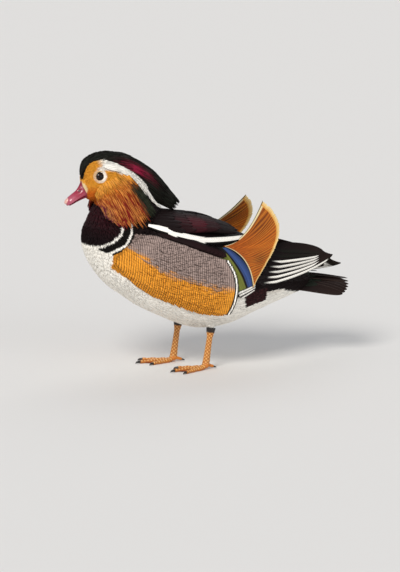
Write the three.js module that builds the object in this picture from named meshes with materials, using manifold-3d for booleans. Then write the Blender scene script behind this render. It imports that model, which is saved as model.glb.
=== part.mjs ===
// A mandarin drake standing on both feet, as a still, life-size model in millimetres.
// X is the bird's left, Y runs from bill to tail and Z is up. The bird is laid out with the floor at
// Z 0 and the point between its ankles at X 0, Y 0, and the whole is then centred over the origin.
import * as THREE from "three";
import { mergeVertices } from "three/addons/utils/BufferGeometryUtils.js";
import Module from "manifold-3d";

const wasm = await Module();
wasm.setup();

// Driving dimensions
const GAP = 0.35;
const FEATHER_SLACK = 0.3;
const LEFT = 1;
const RIGHT = -1;
const DEGREE = Math.PI / 180;

// Flesh and small body feathers, as upright sections: [y, centre height, rise, drop, half width]
const TORSO = {
  nose: 42,
  tail: 14,
  rows: [
    [-141, 169, 40, 46, 48],
    [-121, 167, 38, 53, 52],
    [-95, 158, 43, 60, 58],
    [-68, 147, 53, 68, 64],
    [-39, 136, 61, 71.5, 67.5],
    [-10, 128, 63, 76, 69.5],
    [15, 122, 64, 73.5, 69.5],
    [45, 116, 59, 65, 65],
    [79, 112, 48, 49, 53],
    [110, 109, 35, 36, 38],
    [138, 106, 21, 24, 25],
    [152, 103.5, 15, 17, 19],
    [165, 101, 9, 10, 13],
  ],
};
const HEAD = {
  nose: 11,
  tail: 26,
  rows: [
    [-145.8, 240.5, 13.5, 17.5, 13.5],
    [-139, 243, 22, 24, 17.2],
    [-127, 245.5, 27, 31, 20.5],
    [-115, 246, 28.5, 34, 21.5],
    [-100, 244, 27.5, 35, 21.5],
    [-80, 237, 25, 32, 19.5],
    [-60, 229, 21, 26, 16],
    [-50, 226, 19, 24, 14],
  ],
};
// The neck and the front of the breast, as level sections: [z, centre y, half length, half width]
const NECK = [
  [148, -84, 47, 40],
  [175, -85, 53, 42],
  [190, -85.5, 51, 38.5],
  [204, -86, 44.5, 32],
  [213, -87.5, 38, 28],
  [222, -90, 34, 25.5],
  [240, -94, 29, 21],
  [250, -95, 26, 18],
];
// Where the neck is parted from the torso and from the head: [y, z] of the middle and the slope
const NECK_CUT = { y: -85, z: 202, slope: 0.02 };
const HEAD_CUT = { y: -92, z: 219.5, slope: 0.17 };

// The crest mass, as sections across its own bent line: [share, y, z, half height, half width]
const CREST = [
  [0, -144.5, 246, 2.6, 4.5],
  [0.05, -142, 255, 4.2, 7.5],
  [0.12, -135.5, 263.5, 6.5, 11],
  [0.25, -118, 267.5, 10, 16.5],
  [0.42, -95, 260.5, 14.5, 17.5],
  [0.57, -75, 250, 15, 16],
  [0.72, -56, 236, 15, 13],
  [0.87, -38, 219, 12.5, 10],
  [1, -18, 203, 7, 5],
];
const CREST_CORE_END = 0.84;
// The white brow that runs back along it: [share, y, z, x, half width]
const BROW = [
  [0, -123, 263, 19.5, 2],
  [0.1, -113, 260.6, 21, 4.6],
  [0.27, -98, 256.2, 21, 4.4],
  [0.42, -85.5, 247.8, 19.5, 3.2],
  [0.58, -72.8, 238, 17, 2.6],
  [0.74, -61.3, 224.7, 14.8, 2.6],
  [0.87, -52, 212, 12.8, 2.4],
  [1, -41.5, 204, 9.5, 1.4],
];

// Paths of the cheek hackles from root to tip, front to back: [share, root y, z, middle y, z, tip y, z]
const RUFF = [
  [0, -131, 227, -127, 214, -119, 200],
  [0.25, -127, 237, -121, 215, -112, 190],
  [0.5, -119, 242, -109, 219, -98, 185],
  [0.75, -109, 247, -94, 227, -78, 187],
  [0.9, -98, 251, -81, 232, -63, 194],
  [1, -92, 252, -72, 232, -56, 201],
];

// Bill, in its own frame: [distance from the base, top, mouth line, underside, half width]
const BILL = {
  base: [0, -138, 233.2],
  dip: 31 * DEGREE,
  rows: [
    [-7, 13, -8.6, -12.4, 8.8],
    [0, 11, -7.4, -11.8, 8.4],
    [5, 7.6, -6.2, -10.8, 7.6],
    [12, 4.3, -5, -9.2, 6.9],
    [20, 3.5, -4.4, -7.8, 6.9],
    [26, 2.7, -4.4, -7, 6.5],
    [30, 0.6, -4.6, -6.4, 4.6],
    [31.6, -2, -4.7, -5.8, 2.4],
  ],
};
const EYE = { radius: 6.6, y: -125.6, z: 249, x: 14.8 };

const COLOURS = {
  breast: [0x2a1018, 0.55],
  flank: [0xc9812b, 0.75],
  orange: [0xc9611a, 0.6],
  cheek: [0xd0691c, 0.65],
  face: [0xd9993f, 0.75],
  crest: [0x1d1d18, 0.45],
  white: [0xefebe2, 0.8],
  back: [0x241a1a, 0.5],
  speculum: [0x2f4f8c, 0.4],
  primary: [0x2b211d, 0.55],
  bill: [0xb02f45, 0.35],
  nail: [0xe3b3ab, 0.35],
  eye: [0x120d0b, 0.05],
  leg: [0xc9741e, 0.5],
  claw: [0x1a1512, 0.4],
};

const point = (x, y, z) => new THREE.Vector3(x, y, z);
const mix = THREE.MathUtils.lerp;
const clamp = THREE.MathUtils.clamp;
const rise = (low, high, x) => THREE.MathUtils.smoothstep(x, low, high);
const steps = (count, from = 0, to = 1) =>
  Array.from({ length: count + 1 }, (_, i) => mix(from, to, i / count));

// A smooth curve through rows of numbers, read at a place in their first column.
function through(rows) {
  const slope = rows.map((row, k) => {
    const before = rows[Math.max(k - 1, 0)];
    const after = rows[Math.min(k + 1, rows.length - 1)];
    return row.map((_, c) => (after[c] - before[c]) / (after[0] - before[0]));
  });
  return (x) => {
    let k = 0;
    while (k < rows.length - 2 && x > rows[k + 1][0]) k++;
    const span = rows[k + 1][0] - rows[k][0];
    const t = clamp((x - rows[k][0]) / span, 0, 1);
    return rows[k].map((value, c) => {
      const a = value * (1 + 2 * t) * (1 - t) ** 2 + rows[k + 1][c] * t * t * (3 - 2 * t);
      return a + span * (slope[k][c] * t * (1 - t) ** 2 - slope[k + 1][c] * t * t * (1 - t));
    });
  };
}

// Solids
function solidOf(geometry) {
  const bare = new THREE.BufferGeometry();
  bare.setAttribute("position", geometry.getAttribute("position"));
  bare.setIndex(geometry.index);
  const merged = mergeVertices(bare, 1e-4);
  const vertProperties = new Float32Array(merged.getAttribute("position").array);
  const triVerts = new Uint32Array(merged.index.array);
  const made = new wasm.Manifold(new wasm.Mesh({ numProp: 3, vertProperties, triVerts }));
  if (made.volume() >= 0) return made;
  for (let i = 0; i < triVerts.length; i += 3) triVerts.subarray(i, i + 2).reverse();
  return new wasm.Manifold(new wasm.Mesh({ numProp: 3, vertProperties, triVerts }));
}

function geometryOf(solid) {
  const mesh = solid.getMesh();
  const places = new Float32Array(mesh.numVert * 3);
  for (let i = 0; i < mesh.numVert; i++)
    places.set(mesh.vertProperties.subarray(i * mesh.numProp, i * mesh.numProp + 3), i * 3);
  const geometry = new THREE.BufferGeometry();
  geometry.setAttribute("position", new THREE.BufferAttribute(places, 3));
  geometry.setIndex(new THREE.BufferAttribute(new Uint32Array(mesh.triVerts), 1));
  return geometry;
}

const largest = (solid) =>
  solid.decompose().reduce((best, next) => (next.volume() > best.volume() ? next : best));
const fuse = (solids) => largest(wasm.Manifold.union(solids));
const cutClear = (solid, others, slack = 0.1) =>
  largest(others.reduce((left, other) => left.subtract(other), solid).simplify(slack));

// The solid with its surface moved out, for cutting a neighbour clear of it.
function grown(solid, distance = GAP) {
  const geometry = geometryOf(solid);
  geometry.computeVertexNormals();
  const places = geometry.getAttribute("position");
  const normals = geometry.getAttribute("normal");
  for (let i = 0; i < places.array.length; i++) places.array[i] += normals.array[i] * distance;
  const triVerts = new Uint32Array(geometry.index.array);
  const mesh = new wasm.Mesh({ numProp: 3, vertProperties: places.array, triVerts });
  return new wasm.Manifold(mesh);
}

function mirrored(solid) {
  const geometry = geometryOf(solid);
  geometry.scale(-1, 1, 1);
  return solidOf(geometry);
}

// A closed skin over rings of equal count. An end is a point, or else the last ring's own face.
// The second half of each ring splits its quads the other way, so that a thin vane, whose ring runs
// out along one face and back along the other, has like triangles on both.
function tube(rings, { start, end } = {}) {
  const count = rings[0].length;
  const places = rings.flat().flatMap((p) => [p.x, p.y, p.z]);
  const index = [];
  for (let i = 0; i + 1 < rings.length; i++)
    for (let j = 0; j < count; j++) {
      const a = i * count + j;
      const b = i * count + ((j + 1) % count);
      if (j < count / 2) index.push(a, b, b + count, a, b + count, a + count);
      else index.push(a, b, a + count, b, b + count, a + count);
    }
  const close = (tip, first, turn) => {
    if (tip) places.push(tip.x, tip.y, tip.z);
    const hub = tip ? places.length / 3 - 1 : first;
    for (let j = tip ? 0 : 1; j < (tip ? count : count - 1); j++) {
      const pair = [first + j, first + ((j + 1) % count)];
      index.push(hub, ...(turn ? pair.reverse() : pair));
    }
  };
  close(start, 0, true);
  close(end, (rings.length - 1) * count, false);
  const geometry = new THREE.BufferGeometry();
  geometry.setAttribute("position", new THREE.Float32BufferAttribute(places, 3));
  geometry.setIndex(index);
  return solidOf(geometry);
}

// A curved sheet as one thin solid, from its outer and inner rows of points.
const sheet = (outer, inner) => tube(outer.map((row, i) => [...row, ...[...inner[i]].reverse()]));

// Rounded section: 0 is the top, a quarter turn the bird's left.
function rounded(angle, power) {
  const [s, c] = [Math.sin(angle), Math.cos(angle)];
  const side = Math.sign(s) * Math.abs(s) ** (2 / power);
  const top = Math.sign(c) * Math.abs(c) ** (2 / power);
  return [side, top];
}

// A surface of upright sections with domed ends: reads (y, angle) as a point.
function barrel({ rows, nose, tail }) {
  const read = through(rows);
  const [first, last] = [rows[0][0], rows.at(-1)[0]];
  const dome = (depth, length) => Math.sqrt(1 - clamp(1 - depth / length, 0, 1) ** 2);
  return (y, angle) => {
    const [, centre, up, down, half] = read(y);
    const size = dome(y - first, nose) * dome(last - y, tail);
    const [side, top] = rounded(angle, 2.15);
    return point(half * size * side, y, centre + (top > 0 ? up : down) * size * top);
  };
}

// A point held off a surface by a height along its outward normal.
function off(surface, u, v, height, reach = 0.01) {
  const du = surface(u + reach, v).sub(surface(u - reach, v));
  const dv = surface(u, v + 0.01).sub(surface(u, v - 0.01));
  return surface(u, v).addScaledVector(dv.cross(du).normalize(), height);
}

// The closed body of a barrel surface, moved out by grow.
function barrelSolid(shape, stations, around, grow = 0) {
  const surface = barrel(shape);
  const [first, last] = [shape.rows[0][0], shape.rows.at(-1)[0]];
  const [centreFirst, centreLast] = [shape.rows[0][1], shape.rows.at(-1)[1]];
  const ys = steps(stations + 1).slice(1, -1).map((t) => {
    const spread = (1 - Math.cos(t * Math.PI)) / 2;
    return mix(first, last, mix(t, spread, 0.6));
  });
  const rings = ys.map((y) =>
    steps(around).slice(0, -1).map((t) => off(surface, y, t * 2 * Math.PI, grow)));
  return tube(rings, {
    start: point(0, first - grow, centreFirst),
    end: point(0, last + grow, centreLast),
  });
}

function neckSolid(grow = 0) {
  const read = through(NECK);
  const rings = steps(9, NECK[0][0], NECK.at(-1)[0]).map((z) => {
    const [, centre, length, half] = read(z);
    return steps(24).slice(0, -1).map((t) => {
      const a = t * 2 * Math.PI;
      return point((half + grow) * Math.sin(a), centre - (length + grow) * Math.cos(a), z);
    });
  });
  return tube(rings);
}

// Everything on one side of a plane that tilts about X, less half the gap.
function halfSpace({ y, z, slope }, side) {
  const size = 600;
  const box = new THREE.BoxGeometry(size, size, size);
  box.translate(0, 0, side * (size / 2 + GAP / 2));
  box.rotateX(Math.atan(slope));
  box.translate(0, y, z);
  return solidOf(box);
}

const torsoSurface = barrel(TORSO);
const headSurface = barrel(HEAD);
const bodyGrown = wasm.Manifold.union([
  barrelSolid(TORSO, 20, 24, GAP),
  barrelSolid(HEAD, 12, 16, GAP),
  neckSolid(GAP),
]);
const flesh = wasm.Manifold.union([
  barrelSolid(TORSO, 20, 24),
  barrelSolid(HEAD, 12, 16),
  neckSolid(),
]);

// Half width of the body at a place seen from the side.
function sideReach(y, z) {
  const barrelReach = ({ rows, nose, tail }) => {
    const surface = barrel({ rows, nose, tail });
    if (y <= rows[0][0] || y >= rows.at(-1)[0]) return 0;
    const [top, low] = [surface(y, 0).z, surface(y, Math.PI).z];
    const middle = through(rows)(y)[1];
    const share = Math.abs(z > middle ? (z - middle) / (top - middle) : (middle - z) / (middle - low));
    const widest = surface(y, Math.PI / 2).x;
    return share >= 1 ? 0 : widest * (1 - share ** 2.15) ** (1 / 2.15);
  };
  const [, centre, length, half] = through(NECK)(clamp(z, NECK[0][0], NECK.at(-1)[0]));
  const share = Math.abs(y - centre) / length;
  const neck = share >= 1 || z > NECK.at(-1)[0] ? 0 : half * Math.sqrt(1 - share ** 2);
  return Math.max(barrelReach(TORSO), barrelReach(HEAD), neck);
}

// Feathers
// A vane along a list of places, each with its centre, across and outward directions, and half width.
function vane(places, thick) {
  const ring = ({ centre, across, out, half }) => {
    const at = (side, height) =>
      centre.clone().addScaledVector(across, side * half).addScaledVector(out, height * thick);
    return [at(-1, 0.25), at(0, 0.5), at(1, 0.25), at(1, -0.25), at(0, -0.5), at(-1, -0.25)];
  };
  return tube(places.map(ring));
}

// A lock along the same kind of places: flat below, ridged above, and ending in a point.
function lock(places, thick) {
  const ring = ({ centre, across, out, half }) => {
    const at = (side, height) =>
      centre.clone().addScaledVector(across, side * half).addScaledVector(out, height * thick);
    return [at(-1, -0.4), at(0, 0.6), at(1, -0.4)];
  };
  return tube(places.slice(0, -1).map(ring), { end: places.at(-1).centre });
}

// A vane like the lock, with a blunt end.
function plate(places, thick) {
  const ring = ({ centre, across, out, half }) => {
    const at = (side, height) =>
      centre.clone().addScaledVector(across, side * half).addScaledVector(out, height * thick);
    return [at(-1, -0.3), at(-0.4, 0.5), at(0.4, 0.5), at(1, -0.3)];
  };
  return tube(places.map(ring));
}

// Width along a vane: quickly full, and rounded or pointed at the end.
const leafWidth = (t, tip) => Math.min(1, 0.55 + 2.2 * t) * Math.sqrt(1 - Math.max(0, t) ** tip);

// Places along a straight run on a surface from one (u, v) to another, at a height that changes.
function runOn(surface, from, to, { half, low, high, count, tip = 4, narrow = leafWidth }) {
  const at = (t) => {
    const [u, v] = [mix(from[0], to[0], t), mix(from[1], to[1], t)];
    return off(surface, u, v, mix(low, high, t));
  };
  return steps(count).map((t) => {
    const centre = at(t);
    const along = at(t + 0.01).sub(at(t - 0.01)).normalize();
    const [u, v] = [mix(from[0], to[0], t), mix(from[1], to[1], t)];
    const out = off(surface, u, v, 1).sub(surface(u, v)).normalize();
    const across = new THREE.Vector3().crossVectors(along, out).normalize();
    return { centre, across, out, half: half * Math.max(narrow(t, tip), 0.22) };
  });
}

// Places along a free curve through given points, flat across the given direction.
function runAlong(points, facing, { half, count, tip = 4, narrow = leafWidth }) {
  const curve = new THREE.CatmullRomCurve3(points);
  return steps(count).map((t) => {
    const along = curve.getTangent(t);
    const across = new THREE.Vector3().crossVectors(along, facing).normalize();
    const out = new THREE.Vector3().crossVectors(across, along).normalize();
    return { centre: curve.getPoint(t), across, out, half: half * Math.max(narrow(t, tip), 0.22) };
  });
}

// A patch that lies over the torso between two heights, on rows and columns of (y, degrees).
function patch(rows, columns, place, outer, inner = 0.7) {
  const grid = (height) =>
    steps(rows).map((s) => steps(columns).map((t) => {
      const [y, degrees] = place(s, t);
      return off(torsoSurface, y, degrees * DEGREE, height(s, t));
    }));
  return sheet(grid(outer), grid(() => inner));
}

// Head
function eyeSolid(grow = 0) {
  const ball = new THREE.SphereGeometry(EYE.radius + grow, 12, 8);
  ball.translate(EYE.x, EYE.y, EYE.z);
  return solidOf(ball);
}

function lidSolid() {
  const ring = new THREE.TorusGeometry(EYE.radius - 0.6, 1.1, 5, 12);
  ring.scale(1.08, 0.92, 1);
  ring.rotateY(Math.PI / 2);
  ring.rotateZ(-6 * DEGREE);
  ring.translate(EYE.x + 3.9, EYE.y, EYE.z);
  return solidOf(ring);
}

// A place in the bill's own frame: along it, sideways and above its line.
function inBill(along, side, height) {
  const [c, s] = [Math.cos(BILL.dip), Math.sin(BILL.dip)];
  const [, y, z] = BILL.base;
  return point(side, y - along * c - height * s, z - along * s + height * c);
}

function billPart(from, to, count, section) {
  const read = through(BILL.rows);
  const rings = steps(count, from, to).map((along) => {
    const [, top, mouth, under, half] = read(along);
    return steps(12).slice(0, -1).map((t) => {
      const [side, up] = rounded(t * 2 * Math.PI, 2.3);
      const [x, height] = section(side, up, { top, mouth, under, half });
      return inBill(along, x, height);
    });
  });
  return tube(rings);
}

const upperBill = billPart(-6, 31.6, 10, (side, up, { top, mouth, half }) => {
  const narrowing = 1 - 0.42 * Math.max(up, 0) ** 2;
  return [side * half * narrowing, up > 0 ? mouth + up * (top - mouth) : mouth + up * 0.9];
});
const lowerBill = billPart(-6, 29.6, 10, (side, up, { mouth, under, half }) => {
  const roof = mouth - 0.9 - GAP;
  return [side * half * 0.84, up > 0 ? roof - 0.5 + up * 0.5 : roof - 0.5 + up * (roof - 0.5 - under)];
});

function nailSolid() {
  const ball = new THREE.SphereGeometry(1, 12, 8);
  ball.scale(3.1, 4.6, 2.4);
  ball.rotateX(BILL.dip + 20 * DEGREE);
  const { x, y, z } = inBill(28.6, 0, -0.3);
  ball.translate(x, y, z);
  return solidOf(ball);
}

function nostril(side) {
  const ball = new THREE.SphereGeometry(1, 8, 6);
  ball.scale(1.6, 2.3, 0.95);
  ball.rotateX(BILL.dip);
  const { x, y, z } = inBill(9.5, side * 4.9, 2.6);
  ball.translate(x, y, z);
  return solidOf(ball);
}

// Crest: reads (share along it, angle) as a point on its outer surface.
const readCrest = through(CREST);
function crestSurface(share, angle) {
  const [, y, z, high, half] = readCrest(share);
  const [, y0, z0] = readCrest(Math.max(share - 0.01, 0));
  const [, y1, z1] = readCrest(Math.min(share + 0.01, 1));
  const run = Math.hypot(y1 - y0, z1 - z0);
  const [back, drop] = [(y1 - y0) / run, (z1 - z0) / run];
  const [side, up] = rounded(angle, 2.1);
  return point(side * half, y - up * high * drop, z + up * high * back);
}
const onCrest = (share, degrees, height) =>
  off((u, v) => crestSurface(u, v), share, degrees * DEGREE, height, 0.005);

function crestSolid() {
  const core = tube(
    steps(11, 0.02, CREST_CORE_END).map((share) =>
      steps(14).slice(0, -1).map((t) => onCrest(share, t * 360, -2.6 * rise(0.3, 0.55, share)))),
    { start: point(0, CREST[0][1], CREST[0][2]) },
  );
  const locks = [];
  const tiers = [
    { from: 0.3, to: 0.72, half: 6, angles: [-63, -21, 21, 63], high: 0.4 },
    { from: 0.44, to: 0.86, half: 5.4, angles: [-84, -42, 0, 42, 84], high: 0.2 },
    { from: 0.52, to: 0.99, half: 4.2, angles: [-118, -70, -25, 25, 70, 118], high: 0 },
    { from: 0.46, to: 0.93, half: 4.6, angles: [-152, 152], high: 0 },
  ];
  for (const { from, to, half, angles, high } of tiers)
    for (const degrees of angles) {
      const end = to - 0.02 * Math.abs(Math.sin(degrees * 0.07));
      const surface = (u, v) => crestSurface(u, v);
      const places = runOn(surface, [from, degrees * DEGREE], [end, degrees * 0.75 * DEGREE],
        { half, low: -2.2, high, count: 3, tip: 3 });
      locks.push(lock(places, 3.6));
    }
  return fuse([core, ...locks]);
}

// The white brow: locks laid end over end from above the eye to the side of the crest's tip.
function browSolid() {
  const read = through(BROW);
  const at = (share) => {
    const [, y, z, x] = read(clamp(share, 0, 1));
    return point(x, y, z);
  };
  const stretches = [[0, 0.36], [0.1, 0.56], [0.34, 0.78], [0.58, 1]];
  return fuse(stretches.map(([from, to], k) => lock(steps(4, from, to).map((share, i) => {
    const along = at(share + 0.01).sub(at(share - 0.01)).normalize();
    const across = new THREE.Vector3().crossVectors(along, point(1, 0, 0.15)).normalize();
    const out = new THREE.Vector3().crossVectors(across, along);
    return { centre: at(share).add(point(0.4 * k, 0, 0)), across, out, half: read(share)[4] };
  }), 2.6)));
}

// Cheek ruff: reads (share from root to tip, share from front to back) as a point.
const readRuff = through(RUFF);
function ruffSurface(along, across) {
  const [, y0, z0, y1, z1, y2, z2] = readRuff(across);
  const curve = (a, b, c) => a * (1 - along) ** 2 + 2 * b * along * (1 - along) + c * along ** 2;
  const [y, z] = [curve(y0, y1, y2), curve(z0, z1, z2)];
  const reach = Math.max(...[-5, 0, 5].map((step) => sideReach(y + step, z)));
  return point(reach + 0.8 + 3.6 * Math.sin(Math.PI * clamp(along, 0, 1)) ** 0.7, y, z);
}

function ruffSolid() {
  const outward = (along, across, height) =>
    ruffSurface(along, across).add(point(height, 0, 0));
  const grid = (height) =>
    steps(4, 0.02, 0.56).map((a) => steps(5, 0.02, 0.97).map((b) => outward(a, b, height(a))));
  const core = sheet(grid((a) => -0.4 - a), grid((a) => -3.2 - 2 * a));
  const locks = [];
  const tiers = [
    { root: 0.12, reach: 0.66, count: 3 },
    { root: 0.45, reach: 1, count: 7 },
  ];
  tiers.forEach(({ root, reach, count }, tier) => {
    for (let k = 0; k < count; k++) {
      const across = (k + (tier % 2 ? 0.5 : 0.25)) / (count - 0.2);
      const end = reach - 0.05 * ((k * 7 + tier * 3) % 4) / 3;
      const places = steps(3).map((t) => {
        const a = mix(root, end, t);
        const centre = outward(a, across, mix(-1.6, 1 - tier, t));
        const along = outward(a + 0.02, across, 0).sub(outward(a - 0.02, across, 0)).normalize();
        const side = new THREE.Vector3().crossVectors(along, point(1, 0, 0)).normalize();
        const out = new THREE.Vector3().crossVectors(side, along);
        return { centre, across: side, out, half: mix(8, 5.6, tier) * (1 - 0.75 * t * t) };
      });
      locks.push(lock(places, 2.6));
    }
  });
  return fuse([core, ...locks]);
}

// Scapulars: three tiers of vanes that close to a point behind, edged below by the white ones.
const SCAPULAR_TIP = { y: 66, degrees: 33 };
function scapularSolid() {
  const core = patch(5, 4, (s, t) => {
    const y = mix(-66, 34, s);
    const open = Math.min(1, 0.35 + 2.4 * s) * (1 - 0.25 * s);
    const low = mix(30, 53, open);
    return [y, mix(mix(24, 5, open), low, t)];
  }, (s, t) => 1.4 + 3.6 * Math.sin(Math.PI * clamp(s, 0.05, 0.95)) * (0.45 + 0.55 * Math.sin(Math.PI * t)));
  const tiers = [
    { from: -56, to: -8, angles: [14, 37], half: 12, low: 1.6, high: 5.4 },
    { from: -30, to: 26, angles: [11, 33], half: 12, low: 2, high: 6.6 },
    { from: -6, to: 56, angles: [15, 35], half: 10, low: 2.4, high: 9 },
  ];
  const vanes = tiers.flatMap(({ from, to, angles, half, low, high }) =>
    angles.map((degrees) => {
      const end = mix(degrees, SCAPULAR_TIP.degrees, to > 40 ? 0.75 : 0.15);
      return plate(runOn(torsoSurface, [from, degrees * DEGREE], [to, end * DEGREE],
        { half, low, high, count: 3, tip: 3.2 }), 2.4);
    }));
  const edges = [
    [-72, -14, 45, 54, 5.6, 1.8, 4.8],
    [-44, 26, 49.5, 47, 5.6, 2.2, 6],
    [-8, 60, 53, 34, 5.2, 3.4, 9.5],
  ].map(([from, to, start, end, half, low, high]) =>
    plate(runOn(torsoSurface, [from, start * DEGREE], [to, end * DEGREE],
      { half, low, high, count: 4, tip: 3 }), 2.2));
  return fuse([core, ...vanes, ...edges]);
}

// Flank: a pad of long feathers whose rounded tips end in a curve over the folded wing.
const flankTop = (y) => clamp(mix(58, 66, (y + 89) / 71), 57, 66.5);
const flankRear = (degrees) => 34.5 - 0.02 * (degrees - 98) ** 2 + (degrees > 98 ? 0.012 : 0) * (degrees - 98) ** 2;
function flankPlace(s, t) {
  const degrees = mix(64, 130, t);
  const front = mix(-88, -116, rise(0, 0.9, t)) + 14 * rise(0.8, 1, t);
  const y = mix(front, flankRear(degrees) - 4, s);
  return [y, mix(flankTop(y), 130, t)];
}
function flankSolid() {
  const core = patch(10, 6, flankPlace, (s, t) => {
    const edge = Math.min(1, 6 * s) * Math.min(1, 0.25 + 3 * t, 0.2 + 3.5 * (1 - t));
    return 1.5 + (1.8 + 2.8 * rise(0.55, 1, s)) * edge;
  });
  const vanes = [70, 82, 94, 106, 118].map((degrees) => {
    const tip = flankRear(degrees) + 1;
    return plate(runOn(torsoSurface, [tip - 34, (degrees - 3) * DEGREE], [tip, degrees * DEGREE],
      { half: 8.5, low: 1.2, high: 5.8, count: 3, tip: 4 }), 2.2);
  });
  return fuse([core, ...vanes]);
}

// The part of the folded wing that shows between the flank and the sail.
function wingSolid() {
  const core = patch(6, 4, (s, t) => {
    const degrees = mix(57, 112, s);
    const front = Math.max(mix(-24, 24, rise(57, 68, degrees)), flankRear(degrees) - 2);
    const rear = mix(24, 59, rise(52, 96, degrees));
    return [mix(front, rear, t), degrees];
  }, (s, t) => 2.6 + 0.8 * Math.sin(Math.PI * t));
  const vanes = [0, 1.5, 3].map((k) =>
    plate(runOn(torsoSurface, [16 + 4.5 * k, (63 - 1.5 * k) * DEGREE],
      [42 + 6.5 * k, (115 - k) * DEGREE],
      { half: 6.4, low: 2.6, high: 3.6, count: 4, tip: 6 }), 1.8));
  return fuse([core, ...vanes]);
}

// The sail: one tall tertial vane, a three-cornered curved sheet.
const SAIL = {
  front: point(60.5, 20, 159.5),
  top: point(27, 87.5, 208),
  low: point(65, 59, 104),
  crown: point(54, 53, 158.5),
  keel: point(66.5, 55, 149),
  rear: point(44, 129, 172.5),
  waist: point(62, 78.7, 144),
  thick: 1,
};
function sailSurface(t, s) {
  const { front, top, low, crown, keel, rear, waist } = SAIL;
  const upper = new THREE.QuadraticBezierCurve3(front, crown, top).getPoint(t);
  const lower = new THREE.QuadraticBezierCurve3(front, keel, low).getPoint(t);
  const bulge = new THREE.CubicBezierCurve3(top, rear, waist, low).getPoint(s)
    .sub(top.clone().lerp(low, s));
  const bow = point(5 * Math.sin(Math.PI * s) * t * (1 - t * 0.4), 0, 0);
  return upper.lerp(lower, s).addScaledVector(bulge, t ** 2.2).add(bow);
}
function sailSolid() {
  const normal = (t, s) => {
    const dt = sailSurface(t + 0.01, s).sub(sailSurface(t - 0.01, s));
    const ds = sailSurface(t, s + 0.01).sub(sailSurface(t, s - 0.01));
    return dt.cross(ds).normalize();
  };
  const grid = (height) => steps(8, 0.06, 1).map((t) => steps(6).map((s) =>
    sailSurface(t, s).addScaledVector(normal(t, s), height)));
  return sheet(grid(SAIL.thick / 2), grid(-SAIL.thick / 2));
}

// Primaries: a stack of long vanes from beside the rump to one point over the tail.
function primarySolid(tip) {
  const count = 5;
  const facing = point(0.92, 0.25, 0.3).normalize();
  const root = (k) => point(mix(52.5, 38, k), mix(74, 98, k), mix(111, 149, k));
  const vanes = steps(count - 1).map((k) => {
    const end = tip.clone().add(point(1.5 * k, -20 * k * (1 - 0.35 * k), 5 * k - 3));
    const start = root(k);
    const middle = start.clone().lerp(end, 0.5).add(point(3.5, 0, mix(-3, 3, k)));
    const places = runAlong([start, middle, end], facing, { half: 8, count: 4, tip: 3.4 });
    return vane(places, 1.5);
  });
  const base = tube(steps(3).map((t) => steps(5).slice(0, -1).map((a) => {
    const turn = a * 2 * Math.PI;
    const centre = root(mix(-0.08, 1.02, t)).add(point(-1, 3, 0));
    return centre.add(point(2.6 * Math.cos(turn), 12 * Math.sin(turn), 0));
  })));
  return fuse([base, ...vanes]);
}

// Tail: a shallow roof of stiff feathers in a fan, with coverts over their roots.
const TAIL = { root: point(0, 140, 110.5), length: 74, feathers: 10, spread: 4.8, fall: 12, roof: 4 };
function tailSolid() {
  const fan = (k, reach, lift, from = 0) => {
    const turn = k * TAIL.spread * DEGREE;
    const roof = Math.abs(k) * TAIL.roof;
    const at = (d) => point(
      k * 2.1 + Math.sin(turn) * d,
      TAIL.root.y + Math.cos(turn) * d - Math.abs(k) * 0.4,
      TAIL.root.z + lift - roof * (0.8 + 0.2 * d / TAIL.length) - TAIL.fall * (Math.max(d, 0) / TAIL.length) ** 1.3,
    );
    return [at(from), at(mix(from, reach, 0.5)), at(reach)];
  };
  const facing = (k) => point(k * 0.22, -0.12, 1).normalize();
  const half = TAIL.feathers / 2;
  const vanes = steps(TAIL.feathers - 1, 0.5 - half, half - 0.5).map((k) =>
    vane(runAlong(fan(k, TAIL.length - 0.62 * k * k, 0), facing(k), { half: 7.6, count: 3, tip: 4 }), 1.5));
  const coverts = [
    { ks: [-2.8, 2.8], reach: 32, lift: 1.6 },
    { ks: [0], reach: 34, lift: 2.6 },
  ].flatMap(({ ks, reach, lift }) =>
    ks.map((k) => vane(runAlong(fan(k, reach, lift, -4), facing(k), { half: 11, count: 3, tip: 4 }), 2.2)));
  const root = tube(steps(4).map((t) => steps(14).slice(0, -1).map((a) => {
    const [side, up] = rounded(a * 2 * Math.PI, 2.4);
    return point(side * mix(17, 21, t), mix(138, 168, t), mix(105, 102, t) + up * mix(11, 8, t));
  })));
  return fuse([root, ...vanes, ...coverts]);
}

// Legs and feet: [toe's turn in degrees, length, name]
const TOES = [
  { turn: -27, length: 34, name: "inner" },
  { turn: -1, length: 43, name: "middle" },
  { turn: 24, length: 39, name: "outer" },
];
const LEG = { x: 31, stride: 9.5, lean: 7, ankle: 6, heel: 52, toeOut: 6 };

function round(centre, along, radiusX, radiusY, sides) {
  const side = new THREE.Vector3().crossVectors(along, point(0.02, 0.3, 1)).normalize();
  const up = new THREE.Vector3().crossVectors(side, along).normalize();
  return steps(sides).slice(0, -1).map((t) => {
    const a = t * 2 * Math.PI;
    return centre.clone().addScaledVector(side, Math.cos(a) * radiusX)
      .addScaledVector(up, Math.sin(a) * radiusY);
  });
}

function toePoint(ankle, heading, distance) {
  const z = 2.1 + 3.2 * Math.max(0, 1 - distance / 9) ** 1.6;
  return point(ankle.x + Math.sin(heading) * distance, ankle.y - Math.cos(heading) * distance, z);
}

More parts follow.
